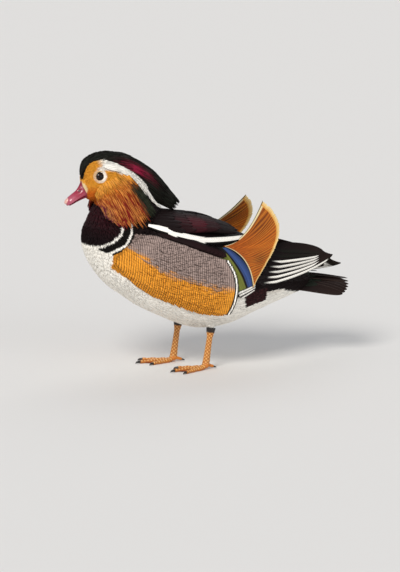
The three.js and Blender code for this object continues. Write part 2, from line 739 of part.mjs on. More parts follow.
function footSolids(side) {
  const ankle = point(side * LEG.x, side * LEG.stride, LEG.ankle);
  const heading = (turn) => side * (turn + LEG.toeOut) * DEGREE;
  const toes = TOES.map(({ turn, length }) => {
    const joints = length / 3;
    const rings = steps(6, -2, length).map((d) => {
      const knuckle = 0.22 * Math.cos(Math.max(d, 0) / joints * 2 * Math.PI);
      const radius = mix(3.1, 1.9, clamp(d / length, 0, 1)) + knuckle;
      const along = toePoint(ankle, heading(turn), d + 1).sub(toePoint(ankle, heading(turn), d - 1));
      return round(toePoint(ankle, heading(turn), d), along.normalize(), radius, radius, 6);
    });
    return tube(rings);
  });
  const webs = [[0, 1], [1, 2]].map(([a, b]) => {
    const grid = (height) => steps(3, 0.2, 0.97).map((t) => steps(3).map((s) => {
      const reach = t * (1 - 0.2 * t * Math.sin(Math.PI * s));
      const from = toePoint(ankle, heading(TOES[a].turn), TOES[a].length * reach);
      const to = toePoint(ankle, heading(TOES[b].turn), TOES[b].length * reach);
      const middle = from.lerp(to, s);
      return middle.add(point(0, 0, height - 0.7 * Math.sin(Math.PI * s)));
    }));
    return sheet(grid(0.2), grid(-0.8));
  });
  const hub = new THREE.SphereGeometry(4.3, 10, 7);
  hub.scale(1, 1.1, 0.95);
  hub.translate(ankle.x, ankle.y, ankle.z - 0.6);
  const back = (d) => point(ankle.x - side * 1.5, ankle.y + 2 + d * 0.95, 5.6 - 0.3 * d);
  const hind = tube(steps(3).map((t) =>
    round(back(9 * t), point(0, 0.95, -0.3), 1.7 - 0.4 * t, 2.3 - 0.7 * t, 6)));
  const floor = new THREE.BoxGeometry(200, 200, 20);
  floor.translate(ankle.x, ankle.y, -10);
  const foot = largest(fuse([...toes, ...webs, solidOf(hub), hind]).subtract(solidOf(floor)).simplify(0.02));
  const claws = TOES.map(({ turn, length, name }) => {
    const at = (d) => toePoint(ankle, heading(turn), length + GAP + d).setZ(2.15 - 0.045 * d * d + 0.1 * d);
    const along = point(Math.sin(heading(turn)), -Math.cos(heading(turn)), 0);
    const rings = steps(3, 0, 4.6).map((d) => round(at(d), along, 1.5 - 0.2 * d, 1.6 - 0.2 * d, 6));
    return { name, solid: tube(rings, { end: at(6).setZ(0.75) }) };
  });
  const hindClaw = tube(steps(2, 9 + GAP, 12).map((d) =>
    round(back(d), point(0, 0.95, -0.3), 1.1 - 0.2 * (d - 9), 1.2 - 0.2 * (d - 9), 6)), { end: back(13.6) });
  return { foot, claws: [...claws, { name: "hind", solid: hindClaw }], ankle };
}

function legSolids(side, footGrown) {
  const ankle = point(side * LEG.x, side * LEG.stride, LEG.ankle);
  const heel = ankle.clone().add(point(0, LEG.lean, LEG.heel - LEG.ankle));
  const up = heel.clone().sub(ankle).normalize();
  const shank = steps(6).map((t) => {
    const radius = 3.2 + 1.2 * (1 - t) ** 3 + 2 * rise(0.7, 1, t);
    return round(ankle.clone().lerp(heel, t), up, radius * 0.86, radius * 1.1, 8);
  });
  const tarsus = cutClear(tube(shank), [footGrown]);
  const hip = point(side * (LEG.x - 1), side * LEG.stride * 0.5 + 2, 84);
  const thighTop = heel.clone().add(point(0, 0, GAP));
  const rings = steps(6).map((t) => {
    const centre = thighTop.clone().lerp(hip, t);
    const radius = 5.6 + 14.4 * rise(0, 0.85, t);
    return round(centre, hip.clone().sub(thighTop).normalize(), radius * 0.85, radius * 1.15, 12);
  });
  const thigh = cutClear(tube(rings), [bodyGrown, grown(tarsus)]);
  return { tarsus, thigh };
}

// Assembly
const model = new THREE.Group();
model.name = "mandarin_drake";

function add(name, solid, finish) {
  const [color, roughness] = COLOURS[finish];
  const material = new THREE.MeshStandardMaterial({ color, roughness, metalness: 0 });
  const mesh = new THREE.Mesh(geometryOf(solid), material);
  mesh.name = name;
  model.add(mesh);
}

function addPair(name, solid, finish) {
  add(`${name}_left`, solid, finish);
  add(`${name}_right`, mirrored(solid), finish);
}

const eye = eyeSolid();
const eyeRoom = eyeSolid(GAP);
const lid = lidSolid();
const headWhole = wasm.Manifold.union([
  flesh.intersect(halfSpace(HEAD_CUT, 1)),
  lid,
  mirrored(lid),
]);
const upperGrown = grown(upperBill);
const lowerGrown = grown(lowerBill);
const head = cutClear(headWhole, [eyeRoom, mirrored(eyeRoom)]);
const neck = largest(flesh.intersect(halfSpace(HEAD_CUT, -1)).intersect(halfSpace(NECK_CUT, 1)));
const torso = largest(flesh.intersect(halfSpace(NECK_CUT, -1)));
const nail = nailSolid();
const brow = cutClear(browSolid(), [bodyGrown, grown(lid)], FEATHER_SLACK);
const browGrown = grown(brow);
const lidGrown = grown(lid);
const crestCutters = [bodyGrown, browGrown, mirrored(browGrown), lidGrown, mirrored(lidGrown)];
const crest = cutClear(crestSolid(), crestCutters, FEATHER_SLACK);
const crestGrown = grown(crest);
const sail = sailSolid();
const sailGrown = grown(sail);
const scapular = cutClear(scapularSolid(), [bodyGrown, crestGrown, sailGrown], FEATHER_SLACK);
const scapularGrown = grown(scapular);
const ruffCutters = [bodyGrown, crestGrown, brow, browGrown, lidGrown, scapularGrown];
const ruff = cutClear(ruffSolid(), ruffCutters, 0.2);
const flank = cutClear(flankSolid(), [scapularGrown], 0.1);
const wing = cutClear(wingSolid(), [scapularGrown, grown(sail, 0.5), grown(flank)], 0.15);

add("torso", torso, "breast");
add("neck", neck, "breast");
add("head", head, "face");
add("bill_upper", cutClear(upperBill, [bodyGrown, grown(nail), nostril(LEFT), nostril(RIGHT)]), "bill");
add("bill_lower", cutClear(lowerBill, [bodyGrown]), "bill");
add("bill_nail", nail, "nail");
addPair("eye", eye, "eye");
add("crest", crest, "crest");
addPair("brow", brow, "white");
addPair("ruff", ruff, "cheek");
addPair("scapulars", scapular, "back");
addPair("flank", flank, "flank");
addPair("wing", wing, "speculum");
addPair("sail", sail, "orange");
const primaryCutters = [bodyGrown, grown(wing), sailGrown];
const primaryLeft = cutClear(primarySolid(point(13, 189, 134)), primaryCutters, 0.2);
const primaryRight = mirrored(cutClear(primarySolid(point(11, 211, 118)), primaryCutters, 0.2));
add("primaries_left", primaryLeft, "primary");
add("primaries_right", primaryRight, "primary");
const tailCutters = [bodyGrown, grown(primaryLeft), grown(primaryRight)];
add("tail", cutClear(tailSolid(), tailCutters, 0.2), "primary");

for (const [name, side] of [["left", LEFT], ["right", RIGHT]]) {
  const { foot, claws } = footSolids(side);
  const { tarsus, thigh } = legSolids(side, grown(foot));
  add(`thigh_${name}`, thigh, "white");
  add(`tarsus_${name}`, tarsus, "leg");
  add(`foot_${name}`, foot, "leg");
  for (const claw of claws) add(`claw_${name}_${claw.name}`, claw.solid, "claw");
}

const bounds = new THREE.Box3().setFromObject(model);
const middle = bounds.getCenter(new THREE.Vector3());
model.position.set(-middle.x, -middle.y, -bounds.min.z);

export default model;
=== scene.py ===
"""A standing mandarin drake: one skin, its plumage in layers, bill, eyes, legs and feet.

Shapes are laid out in millimetres with the floor at z 0 and the ankles at the middle, as the solids
are, and each mesh is moved into the frame's metres as it is made.
"""

import math

import bpy
import numpy as np
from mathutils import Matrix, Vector
from mathutils.bvhtree import BVHTree


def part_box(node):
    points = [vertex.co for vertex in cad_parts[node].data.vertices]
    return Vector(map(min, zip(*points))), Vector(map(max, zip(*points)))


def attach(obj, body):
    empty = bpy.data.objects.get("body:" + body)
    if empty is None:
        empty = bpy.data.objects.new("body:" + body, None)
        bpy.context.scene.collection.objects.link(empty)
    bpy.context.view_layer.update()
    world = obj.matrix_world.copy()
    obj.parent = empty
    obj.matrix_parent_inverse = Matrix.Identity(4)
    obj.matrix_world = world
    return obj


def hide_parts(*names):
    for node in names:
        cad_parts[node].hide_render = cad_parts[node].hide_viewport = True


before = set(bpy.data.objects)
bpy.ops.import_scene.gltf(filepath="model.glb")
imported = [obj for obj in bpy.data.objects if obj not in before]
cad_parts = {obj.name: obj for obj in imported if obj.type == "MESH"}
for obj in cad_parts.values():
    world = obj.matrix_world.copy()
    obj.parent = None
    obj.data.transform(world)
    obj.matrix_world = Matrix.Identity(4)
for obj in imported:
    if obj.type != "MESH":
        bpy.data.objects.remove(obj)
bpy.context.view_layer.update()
EYE = np.array([14.8, -125.6, 249.0])
EYE_RADIUS = 6.6
low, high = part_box("eye_left")
SHIFT = (np.array(low) + np.array(high)) * 500 - EYE
rng = np.random.default_rng(7)
SIDES = ((1, "left"), (-1, "right"))
BODY_POWER = 2.15
SKIN_INSET = -1.5
SKIN_VOXEL = 0.0019
MOST_TRIANGLES = 190000
VANE_ROUND = 4

# Upright sections of the body: y, centre height, rise, drop, half width
TORSO = {
    "nose": 42,
    "tail": 14,
    "rows": [
        [-141, 169, 40, 46, 48],
        [-121, 167, 38, 53, 52],
        [-95, 158, 43, 60, 58],
        [-68, 147, 53, 68, 64],
        [-39, 136, 61, 71.5, 67.5],
        [-10, 128, 63, 76, 69.5],
        [15, 122, 64, 73.5, 69.5],
        [45, 116, 59, 65, 65],
        [79, 112, 48, 49, 53],
        [110, 109, 35, 36, 38],
        [138, 106, 21, 24, 25],
        [152, 103.5, 15, 17, 19],
        [165, 101, 9, 10, 13],
    ],
}
HEAD = {
    "nose": 11,
    "tail": 26,
    "rows": [
        [-145.8, 240.5, 13.5, 17.5, 13.5],
        [-139, 243, 22, 24, 17.2],
        [-127, 245.5, 27, 31, 20.5],
        [-115, 246, 28.5, 34, 21.5],
        [-100, 244, 27.5, 35, 21.5],
        [-80, 237, 25, 32, 19.5],
        [-60, 229, 21, 26, 16],
        [-50, 226, 19, 24, 14],
    ],
}
# Level sections of the neck: z, centre y, half length, half width
NECK = [
    [148, -84, 47, 40],
    [175, -85, 53, 42],
    [190, -85.5, 51, 38.5],
    [204, -86, 44.5, 32],
    [213, -87.5, 38, 28],
    [222, -90, 34, 25.5],
    [240, -94, 29, 21],
    [250, -95, 26, 18],
]
CREST = [
    [0, -144.5, 246, 2.6, 3.5],
    [0.05, -142.3, 255, 4, 5.5],
    [0.12, -135.5, 263.5, 6.5, 8],
    [0.25, -118, 267.5, 9.5, 12.5],
    [0.42, -95, 260.5, 14.5, 16],
    [0.57, -75, 250, 15, 16],
    [0.72, -56, 236, 15, 13],
    [0.87, -38, 219, 12.5, 10],
    [1, -18, 203, 7, 5],
]
BROW = [
    [0, -123, 263, 19.5, 2],
    [0.1, -113, 260.6, 21, 4.6],
    [0.27, -98, 256.2, 21, 4.4],
    [0.42, -85.5, 247.8, 19.5, 3.2],
    [0.58, -72.8, 238, 17, 2.6],
    [0.74, -61.3, 224.7, 14.8, 2.6],
    [0.87, -52, 212, 12.8, 2.4],
    [1, -41.5, 204, 9.5, 1.4],
]
RUFF = [
    [0, -131, 227, -127, 214, -119, 200],
    [0.25, -127, 237, -121, 215, -112, 190],
    [0.5, -119, 242, -109, 219, -98, 185],
    [0.75, -109, 247, -94, 227, -78, 187],
    [0.9, -98, 251, -81, 232, -63, 194],
    [1, -92, 252, -72, 232, -56, 201],
]
BILL_BASE = (-138, 233.2)
BILL_DIP = math.radians(31)
BILL = [
    [-7, 13, -8.6, -12.4, 8.8],
    [0, 11, -7.4, -11.8, 8.4],
    [5, 7.6, -6.2, -10.8, 7.6],
    [12, 4.3, -5, -9.2, 6.9],
    [20, 3.5, -4.4, -7.8, 6.9],
    [26, 2.7, -4.4, -7, 6.5],
    [30, 0.6, -4.6, -6.4, 4.6],
    [31.6, -2, -4.7, -5.8, 2.4],
]
SAIL = {
    "front": (60.5, 20, 159.5),
    "crown": (54, 53, 158.5),
    "keel": (66.5, 55, 149),
    "top": (27, 87.5, 208),
    "rear": (44, 129, 172.5),
    "waist": (62, 78.7, 144),
    "low": (65, 59, 104),
}
LEG = {"x": 31, "stride": 9.5, "lean": 7, "ankle": 6, "heel": 52, "toe_out": 6}
TOES = [("inner", -27, 34), ("middle", -1, 43), ("outer", 24, 39)]
SPINE = [
    [-149, 241],
    [-128, 243],
    [-108, 236],
    [-97, 216],
    [-88, 190],
    [-66, 160],
    [-30, 138],
    [15, 122],
    [79, 111],
    [130, 105],
    [172, 99],
]


def shade(code):
    """A colour written as six hex digits, as linear red, green and blue."""
    value = np.array([int(code[i : i + 2], 16) for i in (0, 2, 4)]) / 255
    return np.where(value <= 0.04045, value / 12.92, ((value + 0.055) / 1.055) ** 2.4)


MAROON = shade("330e15")
BLACK = shade("14110f")
WHITE = shade("f6f2e9")
CREAM = shade("ecd8a6")
GREY = shade("8d7b74")
GOLD = shade("d18a2c")
GREEN = shade("1c2a1e")
CROWN = shade("17120f")
CRIMSON = shade("8a1738")
FACE = shade("dc9630")
ORANGE = shade("c9651b")
RUST = shade("a33a17")
BACK = shade("150c0c")
BROWN = shade("201512")
SAIL_ORANGE = shade("b85c16")
BLUE = shade("344a7c")
OLIVE = shade("6f7430")
BILL_RED = shade("94203a")
NAIL = shade("dcab9f")
LEG_ORANGE = shade("c9761d")
CLAW = shade("191411")
LEG_GROOVE_SHADE = shade("7d4514")
LEG_DOT = shade("efbf74")
BELLY_SHADE = shade("c9c2b8")
DUN = shade("a89a8a")
RIB = shade("3a1b1c")
BREAST_DARK = shade("130a0c")
SHOULDER = shade("45121b")
RUFF_BACK = shade("25291a")
RUFF_TIP = shade("7c1510")
RUFF_TIP_FRONT = shade("5a1633")
RUFF_SHAFT = shade("f0a648")
SAIL_STREAK = shade("4f1f08")
# Painted highlight on the sails, between their streaks
SAIL_HIGHLIGHT = shade("e0922f")
SAIL_RIM = shade("dd9c40")
SAIL_RIM_PALE = shade("f2d596")
TAIL_EDGE = shade("6b5648")
BILL_ROOT = shade("6a1530")
BILL_FRONT = shade("b0586c")
IRIS = shade("2c1409")
PUPIL = shade("050403")
EYE_RIM = shade("0b0705")
LID = shade("caa878")
WEB = shade("9a470c")
WEB_VEIN = shade("6f360d")


def smooth(a, b, x):
    """0 at a and 1 at b, eased at both ends."""
    t = np.clip((x - a) / (b - a), 0, 1)
    return t * t * (3 - 2 * t)


def spot_at(*parts):
    """1 at the middle of each (value, middle, width), and softly less away from it."""
    return np.exp(-sum(((value - middle) / width) ** 2 for value, middle, width in parts))


def blend(a, b, t):
    t = np.asarray(t)[..., None]
    return a * (1 - t) + b * t


def arc(a, b, c, t):
    """A quadratic curve from a to c, drawn towards b."""
    return a * (1 - t) ** 2 + 2 * b * t * (1 - t) + c * t**2


def through(a, b, c, t):
    """A quadratic curve through a, b at the half, and c."""
    return a * (1 - t) * (1 - 2 * t) + b * 4 * t * (1 - t) + c * t * (2 * t - 1)


def unit(v):
    return v / np.maximum(np.linalg.norm(v, axis=-1, keepdims=True), 1e-9)


def curve(rows):
    """A smooth curve through rows of numbers, read at places in their first column."""
    rows = np.array(rows, float)
    xs = rows[:, 0]
    slope = np.empty_like(rows)
    slope[1:-1] = (rows[2:] - rows[:-2]) / (xs[2:] - xs[:-2])[:, None]
    slope[0] = (rows[1] - rows[0]) / (xs[1] - xs[0])
    slope[-1] = (rows[-1] - rows[-2]) / (xs[-1] - xs[-2])

    def read(x):
        x = np.clip(np.asarray(x, float), xs[0], xs[-1])
        k = np.clip(np.searchsorted(xs, x, side="right") - 1, 0, len(xs) - 2)
        span = (xs[k + 1] - xs[k])[..., None]
        t = (x - xs[k])[..., None] / span
        ends = rows[k] * (1 + 2 * t) * (1 - t) ** 2 + rows[k + 1] * t * t * (3 - 2 * t)
        bend = slope[k] * t * (1 - t) ** 2 - slope[k + 1] * t * t * (1 - t)
        return np.moveaxis(ends + span * bend, -1, 0)

    return read


def rounded(angle, power):
    """Sideways and upward shares of a rounded section, from its top round to the bird's left."""
    s, c = np.sin(angle), np.cos(angle)
    side = np.sign(s) * np.abs(s) ** (2 / power)
    return side, np.sign(c) * np.abs(c) ** (2 / power)


def point(x, y, z):
    return np.stack(np.broadcast_arrays(x, y, z), -1).astype(float)


def full_turn(count):
    """Angles spread evenly over one turn."""
    return np.linspace(0, 2 * np.pi, count, endpoint=False)


def barrel(shape):
    """The surface of a row of sections with domed ends, read at (y, angle)."""
    read = curve(shape["rows"])
    first, last = shape["rows"][0][0], shape["rows"][-1][0]

    def size(y):
        nose = 1 - np.clip(1 - (y - first) / shape["nose"], 0, 1) ** 2
        return np.sqrt(nose * (1 - np.clip(1 - (last - y) / shape["tail"], 0, 1) ** 2))

    def surface(y, angle):
        y, angle = np.broadcast_arrays(np.asarray(y, float), np.asarray(angle, float))
        _, centre, up, down, half = read(y)
        side, top = rounded(angle, BODY_POWER)
        grown = size(y)
        rise = np.where(top > 0, up, down)
        return point(half * grown * side, y, centre + rise * grown * top)

    surface.read, surface.size, surface.ends = read, size, (first, last)
    return surface


def off(surface, u, v, height, reach=0.05):
    """Places held off a surface along its outward normal."""
    du = surface(u + reach, v) - surface(u - reach, v)
    dv = surface(u, v + 0.01) - surface(u, v - 0.01)
    return surface(u, v) + unit(np.cross(dv, du)) * np.asarray(height)[..., None]


torso = barrel(TORSO)
head = barrel(HEAD)
read_neck = curve(NECK)


def side_reach(y, z):
    """Half width of the body at places seen from the side."""

    def of_barrel(surface):
        inside = np.clip(y, surface.ends[0] + 0.01, surface.ends[1] - 0.01)
        _, centre, up, down, half = surface.read(inside)
        grown = surface.size(inside)
        share = np.abs(z - centre) / (np.where(z > centre, up, down) * grown)
        reach = half * grown * np.clip(1 - share**BODY_POWER, 0, 1) ** (1 / BODY_POWER)
        return np.where((y > surface.ends[0]) & (y < surface.ends[1]), reach, 0)

    _, centre, length, half = read_neck(z)
    share = np.abs(y - centre) / length
    neck = np.where(z < NECK[-1][0], half * np.sqrt(np.clip(1 - share**2, 0, 1)), 0)
    return np.maximum(np.maximum(of_barrel(torso), of_barrel(head)), neck)


# Meshes
def material(name, rough, *, barbs=0.0, pitch=9.0, specks=(260.0, 0.12), bump=0.15, coat=0.0,
             wave=0.0, specular=0.5):
    """A surface coloured by the mesh, with barbs, fine wavy bars and mottling drawn by nodes."""
    made = bpy.data.materials.new(name)
    made.use_nodes = True
    nodes, links = made.node_tree.nodes, made.node_tree.links
    shader = nodes["Principled BSDF"]
    shader.inputs["Roughness"].default_value = rough
    shader.inputs["Coat Weight"].default_value = coat
    shader.inputs["Coat Roughness"].default_value = 0.08
    shader.inputs["Specular IOR Level"].default_value = specular

    def node(kind, **values):
        n = nodes.new(kind)
        for key, value in values.items():
            setattr(n, key, value)
        return n

    def maths(operation, a, b=None):
        n = node("ShaderNodeMath", operation=operation)
        for socket, value in zip(n.inputs, (a, b)):
            if value is None:
                continue
            if isinstance(value, (int, float)):
                socket.default_value = value
            else:
                links.new(value, socket)
        return n.outputs[0]

    def times(a, b):
        return maths("MULTIPLY", a, b)

    def plus(a, b):
        return maths("ADD", a, b)

    colour = node("ShaderNodeAttribute", attribute_name="Col").outputs["Color"]
    place = node("ShaderNodeTexCoord").outputs["Object"]
    noise = node("ShaderNodeTexNoise")
    noise.inputs["Scale"].default_value = specks[0]
    noise.inputs["Detail"].default_value = 3
    links.new(place, noise.inputs["Vector"])
    mottle = noise.outputs["Fac"]
    gain = plus(times(mottle, 2 * specks[1]), 1 - specks[1])
    height = mottle
    if barbs:
        grain = node("ShaderNodeSeparateXYZ")
        links.new(node("ShaderNodeAttribute", attribute_name="grain").outputs["Vector"],
                  grain.inputs[0])
        across, along, chance = grain.outputs
        wide = maths("ABSOLUTE", across)
        slant = maths("SUBTRACT", times(along, pitch), times(wide, 1.6))
        phase = plus(slant, chance)
        barb = maths("SINE", times(phase, 2 * math.pi))
        shaft = maths("LESS_THAN", wide, 0.09)
        gain = times(gain, plus(times(barb, barbs), 1.0))
        gain = times(gain, plus(times(shaft, barbs * 1.2), 1.0))
        gain = times(gain, plus(times(chance, 0.22), 0.89))
        height = plus(times(barb, 0.5), times(mottle, 0.5))
    if wave:
        bars = node("ShaderNodeTexWave", bands_direction="Y")
        bars.inputs["Scale"].default_value = 122
        bars.inputs["Distortion"].default_value = 3.2
        bars.inputs["Detail"].default_value = 2
        bars.inputs["Detail Scale"].default_value = 0.9
        links.new(place, bars.inputs["Vector"])
        dark = times(maths("SUBTRACT", bars.outputs["Fac"], 0.45), wave)
        gain = times(gain, plus(dark, 1.0))
    tinted = node("ShaderNodeVectorMath", operation="SCALE")
    links.new(colour, tinted.inputs[0])
    links.new(gain, tinted.inputs["Scale"])
    links.new(tinted.outputs[0], shader.inputs["Base Color"])
    relief = node("ShaderNodeBump")
    relief.inputs["Strength"].default_value = bump
    relief.inputs["Distance"].default_value = 0.0004
    links.new(height, relief.inputs["Height"])
    links.new(relief.outputs[0], shader.inputs["Normal"])
    return made


SOFT = material("soft_feather", 0.8, barbs=0.05, pitch=7, specks=(260, 0.04), specular=0.1,
                bump=0.08)
GLOSSY = material("glossy_feather", 0.5, barbs=0.14, pitch=10, bump=0.2, specular=0.14)
HACKLE = material("hackle", 0.55, barbs=0.10, pitch=10, bump=0.2, specular=0.2)
BARRED = material("barred_feather", 0.7, barbs=0.04, pitch=7, wave=0.95, specular=0.12)
VANE = material("stiff_vane", 0.6, barbs=0.12, pitch=34, bump=0.3, specular=0.1)
SHEET = material("sail_vane", 0.55, barbs=0.10, pitch=46, bump=0.35, specular=0.2)
HIDE = material("skin", 0.85, bump=0.3, specular=0.2)
HORN = material("horn", 0.3, specks=(190, 0.10), bump=0.12, coat=0.25)
WET = material("eye", 0.06, specks=(900, 0.10), bump=0.02, coat=0.15, specular=0.2)
LEATHER = material("leg_skin", 0.48, specks=(420, 0.16), bump=0.35, coat=0.1)
NAIL_HORN = material("claw", 0.34, specks=(300, 0.15), bump=0.15, coat=0.2)


def link(name, data):
    """A new object in the scene."""
    made = bpy.data.objects.new(name, data)
    bpy.context.scene.collection.objects.link(made)
    return made


def add(name, places, faces, look, colour, *, grain=None, uv=None, nodes=(), side=1):
    """One joined mesh from arrays, in the frame's metres, riding on the body. Side -1 mirrors it."""
    if side < 0:
        places = places * np.array([-1, 1, 1])
        faces = [f[:, ::-1] for f in faces]
    mesh = bpy.data.meshes.new(name)
    corners = np.concatenate([f.ravel() for f in faces]).astype(np.int32)
    sizes = np.concatenate([np.full(len(f), f.shape[1]) for f in faces])
    starts = np.concatenate([[0], np.cumsum(sizes)[:-1]]).astype(np.int32)
    mesh.vertices.add(len(places))
    mesh.vertices.foreach_set("co", ((places + SHIFT) / 1000).astype(np.float32).ravel())
    mesh.loops.add(len(corners))
    mesh.loops.foreach_set("vertex_index", corners)
    mesh.polygons.add(len(starts))
    mesh.polygons.foreach_set("loop_start", starts)
    mesh.polygons.foreach_set("use_smooth", np.ones(len(starts), bool))
    mesh.update(calc_edges=True)
    tint = np.ones((len(places), 4), np.float32)
    tint[:, :3] = colour
    mesh.color_attributes.new("Col", "FLOAT_COLOR", "POINT").data.foreach_set("color", tint.ravel())
    if grain is not None:
        layer = mesh.attributes.new("grain", "FLOAT_VECTOR", "POINT")
        layer.data.foreach_set("vector", grain.astype(np.float32).ravel())
    if uv is not None:
        layer = mesh.uv_layers.new(name="OFBake")
        layer.data.foreach_set("uv", uv[corners].astype(np.float32).ravel())
    mesh.materials.append(look)
    piece = link(name, mesh)
    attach(piece, "root")
    if nodes:
        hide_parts(*nodes)
    return piece


def grid_faces(rows, columns, closed, first=0):
    """Quads over rows of places, closed round or open."""
    i, j = np.meshgrid(np.arange(rows - 1), np.arange(columns if closed else columns - 1),
                       indexing="ij")
    a = i * columns + j
    b = i * columns + (j + 1) % columns
    return np.stack([a, b, b + columns, a + columns], -1).reshape(-1, 4) + first


def loft(rings):
    """A closed tube with a pole at each end, from rings of places."""
    rows, columns = rings.shape[:2]
    places = np.concatenate([rings.reshape(-1, 3), rings[0].mean(0)[None], rings[-1].mean(0)[None]])
    j = np.arange(columns)
    after = (j + 1) % columns
    start, end = rows * columns, rows * columns + 1
    near = np.stack([np.full(columns, start), after, j], -1)
    last = (rows - 1) * columns
    far = np.stack([np.full(columns, end), last + j, last + after], -1)
    return places, [grid_faces(rows, columns, True), near, far]


def with_poles(tone):
    """Colours of a loft's places, from those of its rings."""
    return np.concatenate([tone.reshape(-1, 3), tone[0, :1], tone[-1, :1]])


def join(parts):
    """Several (places, faces) as one."""
    places, faces, first = [], [], 0
    for p, fs in parts:
        places.append(p)
        faces += [f + first for f in fs]
        first += len(p)
    return np.concatenate(places), faces


def shell(outer, inner):
    """A closed sheet from its outer and inner grids of places."""
    rows, columns = outer.shape[:2]
    rings = np.concatenate([outer, inner[:, ::-1]], 1)
    places = rings.reshape(-1, 3)
    faces = [grid_faces(rows, columns * 2, True)]
    for row, turn in ((0, -1), (rows - 1, 1)):
        j = np.arange(columns - 1)
        base = row * columns * 2
        quad = np.stack([base + j, base + j + 1, base + 2 * columns - 2 - j,
                         base + 2 * columns - 1 - j], -1)
        faces.append(quad[:, ::turn])
    return places, faces


def both_faces(values):
    """Values of a sheet's places, from those of its outer grid."""
    return np.concatenate([values, values[:, ::-1]], 1).reshape(-1, 3)


def vanes(centre, out, half, thick, across=(-1, 0, 1), camber=0.25):
    """Closed vanes along many lines of places. Returns places, faces and each place's grain."""
    count, rows = centre.shape[:2]
    along = unit(np.gradient(centre, axis=1))
    side = unit(np.cross(along, out))
    out = np.cross(side, along)
    top = np.array(across, float)
    s = np.concatenate([top, top[1:-1][::-1]])
    face = np.concatenate([np.ones(len(top)), -0.7 * np.ones(len(top) - 2)])
    columns = len(s)
    lift = face * (1 - s**2) * np.asarray(thick)[..., None] - camber * s**2 * half[..., None]
    places = (centre[:, :, None] + side[:, :, None] * (half[..., None] * s)[..., None]
              + out[:, :, None] * lift[..., None])
    first = (np.arange(count) * rows * columns)[:, None, None]
    quads = (grid_faces(rows, columns, True)[None] + first).reshape(-1, 4)
    near = np.arange(columns)[::-1][None] + first[:, 0]
    far = (rows - 1) * columns + np.arange(columns)[None] + first[:, 0]
    t = np.linspace(0, 1, rows)
    chance = rng.random(count)
    grain = np.stack(np.broadcast_arrays(s[None, None], t[None, :, None], chance[:, None, None]), -1)
    return places.reshape(-1, 3), [quads, np.concatenate([near, far])], grain.reshape(-1, 3)


def patches(spot, grain, each):
    """Each vane as a small patch at its spot on the unwrap."""
    spread = np.stack([grain[:, 0] * 0.0014, (grain[:, 1] - 0.5) * 0.0028], -1)
    return np.clip(np.repeat(spot, each, axis=0) + spread, 0.001, 0.999)


def leaf(t, tip=3.0, base=0.45):
    """Width along a vane, quickly full and rounded at the end."""
    return np.minimum(1, base + 2.4 * t) * np.sqrt(np.clip(1 - t**tip, 0.012, 1))


# Skin
def neck_rings(grow):
    z = np.linspace(NECK[0][0], NECK[-1][0], 40)
    _, centre, length, half = (v[:, None] for v in read_neck(z))
    a = full_turn(64)[None]
    return point((half + grow) * np.sin(a), centre - (length + grow) * np.cos(a), z[:, None])


def barrel_rings(surface, grow, stations, around):
    first, last = surface.ends
    share = (1 - np.cos(np.linspace(0.03, 0.97, stations) * np.pi)) / 2
    y = (first + (last - first) * share)[:, None]
    a = full_turn(around)[None]
    return off(surface, y, a, grow)


def ankle(side):
    return np.array([side * LEG["x"], side * LEG["stride"], LEG["ankle"]])


def thigh_rings(side):
    heel = ankle(side) + np.array([0, LEG["lean"], LEG["heel"] - LEG["ankle"] + 0.4])
    hip = np.array([side * (LEG["x"] - 1), side * LEG["stride"] * 0.5 + 2, 84])
    t = np.linspace(0, 1, 14)[:, None]
    a = full_turn(32)[None]
    radius = 4.8 + 14.4 * smooth(0, 0.85, t)
    centre = heel + (hip - heel) * t[..., None]
    return centre + point(np.cos(a) * radius * 0.85, -np.sin(a) * radius * 1.15, 0 * a)


def skin_mesh():
    """The whole body's skin as one surface, a little inside the solids."""
    rings = [barrel_rings(torso, SKIN_INSET, 110, 110), barrel_rings(head, SKIN_INSET, 70, 80),
             neck_rings(SKIN_INSET), thigh_rings(1), thigh_rings(-1)]
    places, faces = join([loft(r) for r in rings])
    rough = add("skin_rough", places, faces, HIDE, WHITE)
    remesh = rough.modifiers.new("remesh", "REMESH")
    remesh.mode = "VOXEL"
    remesh.voxel_size = SKIN_VOXEL
    ease = rough.modifiers.new("ease", "SMOOTH")
    ease.factor = 0.6
    ease.iterations = 9
    done = rough.evaluated_get(bpy.context.evaluated_depsgraph_get()).to_mesh()
    co = np.empty(len(done.vertices) * 3, np.float32)
    done.vertices.foreach_get("co", co)
    done.calc_loop_triangles()
    tris = np.empty(len(done.loop_triangles) * 3, np.int32)
    done.loop_triangles.foreach_get("vertices", tris)
    quads = np.empty(len(done.loops), np.int32)
    done.loops.foreach_get("vertex_index", quads)
    bpy.data.objects.remove(rough)
    places = co.reshape(-1, 3).astype(float) * 1000 - SHIFT
    return places, tris.reshape(-1, 3), quads.reshape(-1, 4)


skin_places, skin_tris, skin_quads = skin_mesh()
spine_y, spine_z = (np.interp(np.linspace(0, 1, 200), np.linspace(0, 1, len(SPINE)), column)
                    for column in np.array(SPINE, float).T)
spine_run = np.concatenate([[0], np.cumsum(np.hypot(np.diff(spine_y), np.diff(spine_z)))])
spine_run /= spine_run[-1]


def near_spine(p):
    """The lie of the plumage at places, and each place's spot on an unwrap round the spine."""
    dy, dz = p[:, 1:2] - spine_y[None], p[:, 2:3] - spine_z[None]
    square = dy**2 + dz**2
    weight = np.exp(-(square - square.min(1, keepdims=True)) / 260)
    weight /= weight.sum(1, keepdims=True)
    ty, tz = np.gradient(spine_y), np.gradient(spine_z)
    lie = unit(np.stack([np.zeros(len(p)), weight @ ty, weight @ tz], -1))
    up = np.stack([-lie[:, 2], lie[:, 1]], -1)
    centre_y, centre_z = weight @ spine_y, weight @ spine_z
    rise = (p[:, 1] - centre_y) * up[:, 0] + (p[:, 2] - centre_z) * up[:, 1]
    turn = np.arctan2(p[:, 0], rise) / (2 * np.pi) + 0.5
    return lie, np.stack([turn, weight @ spine_run], -1)


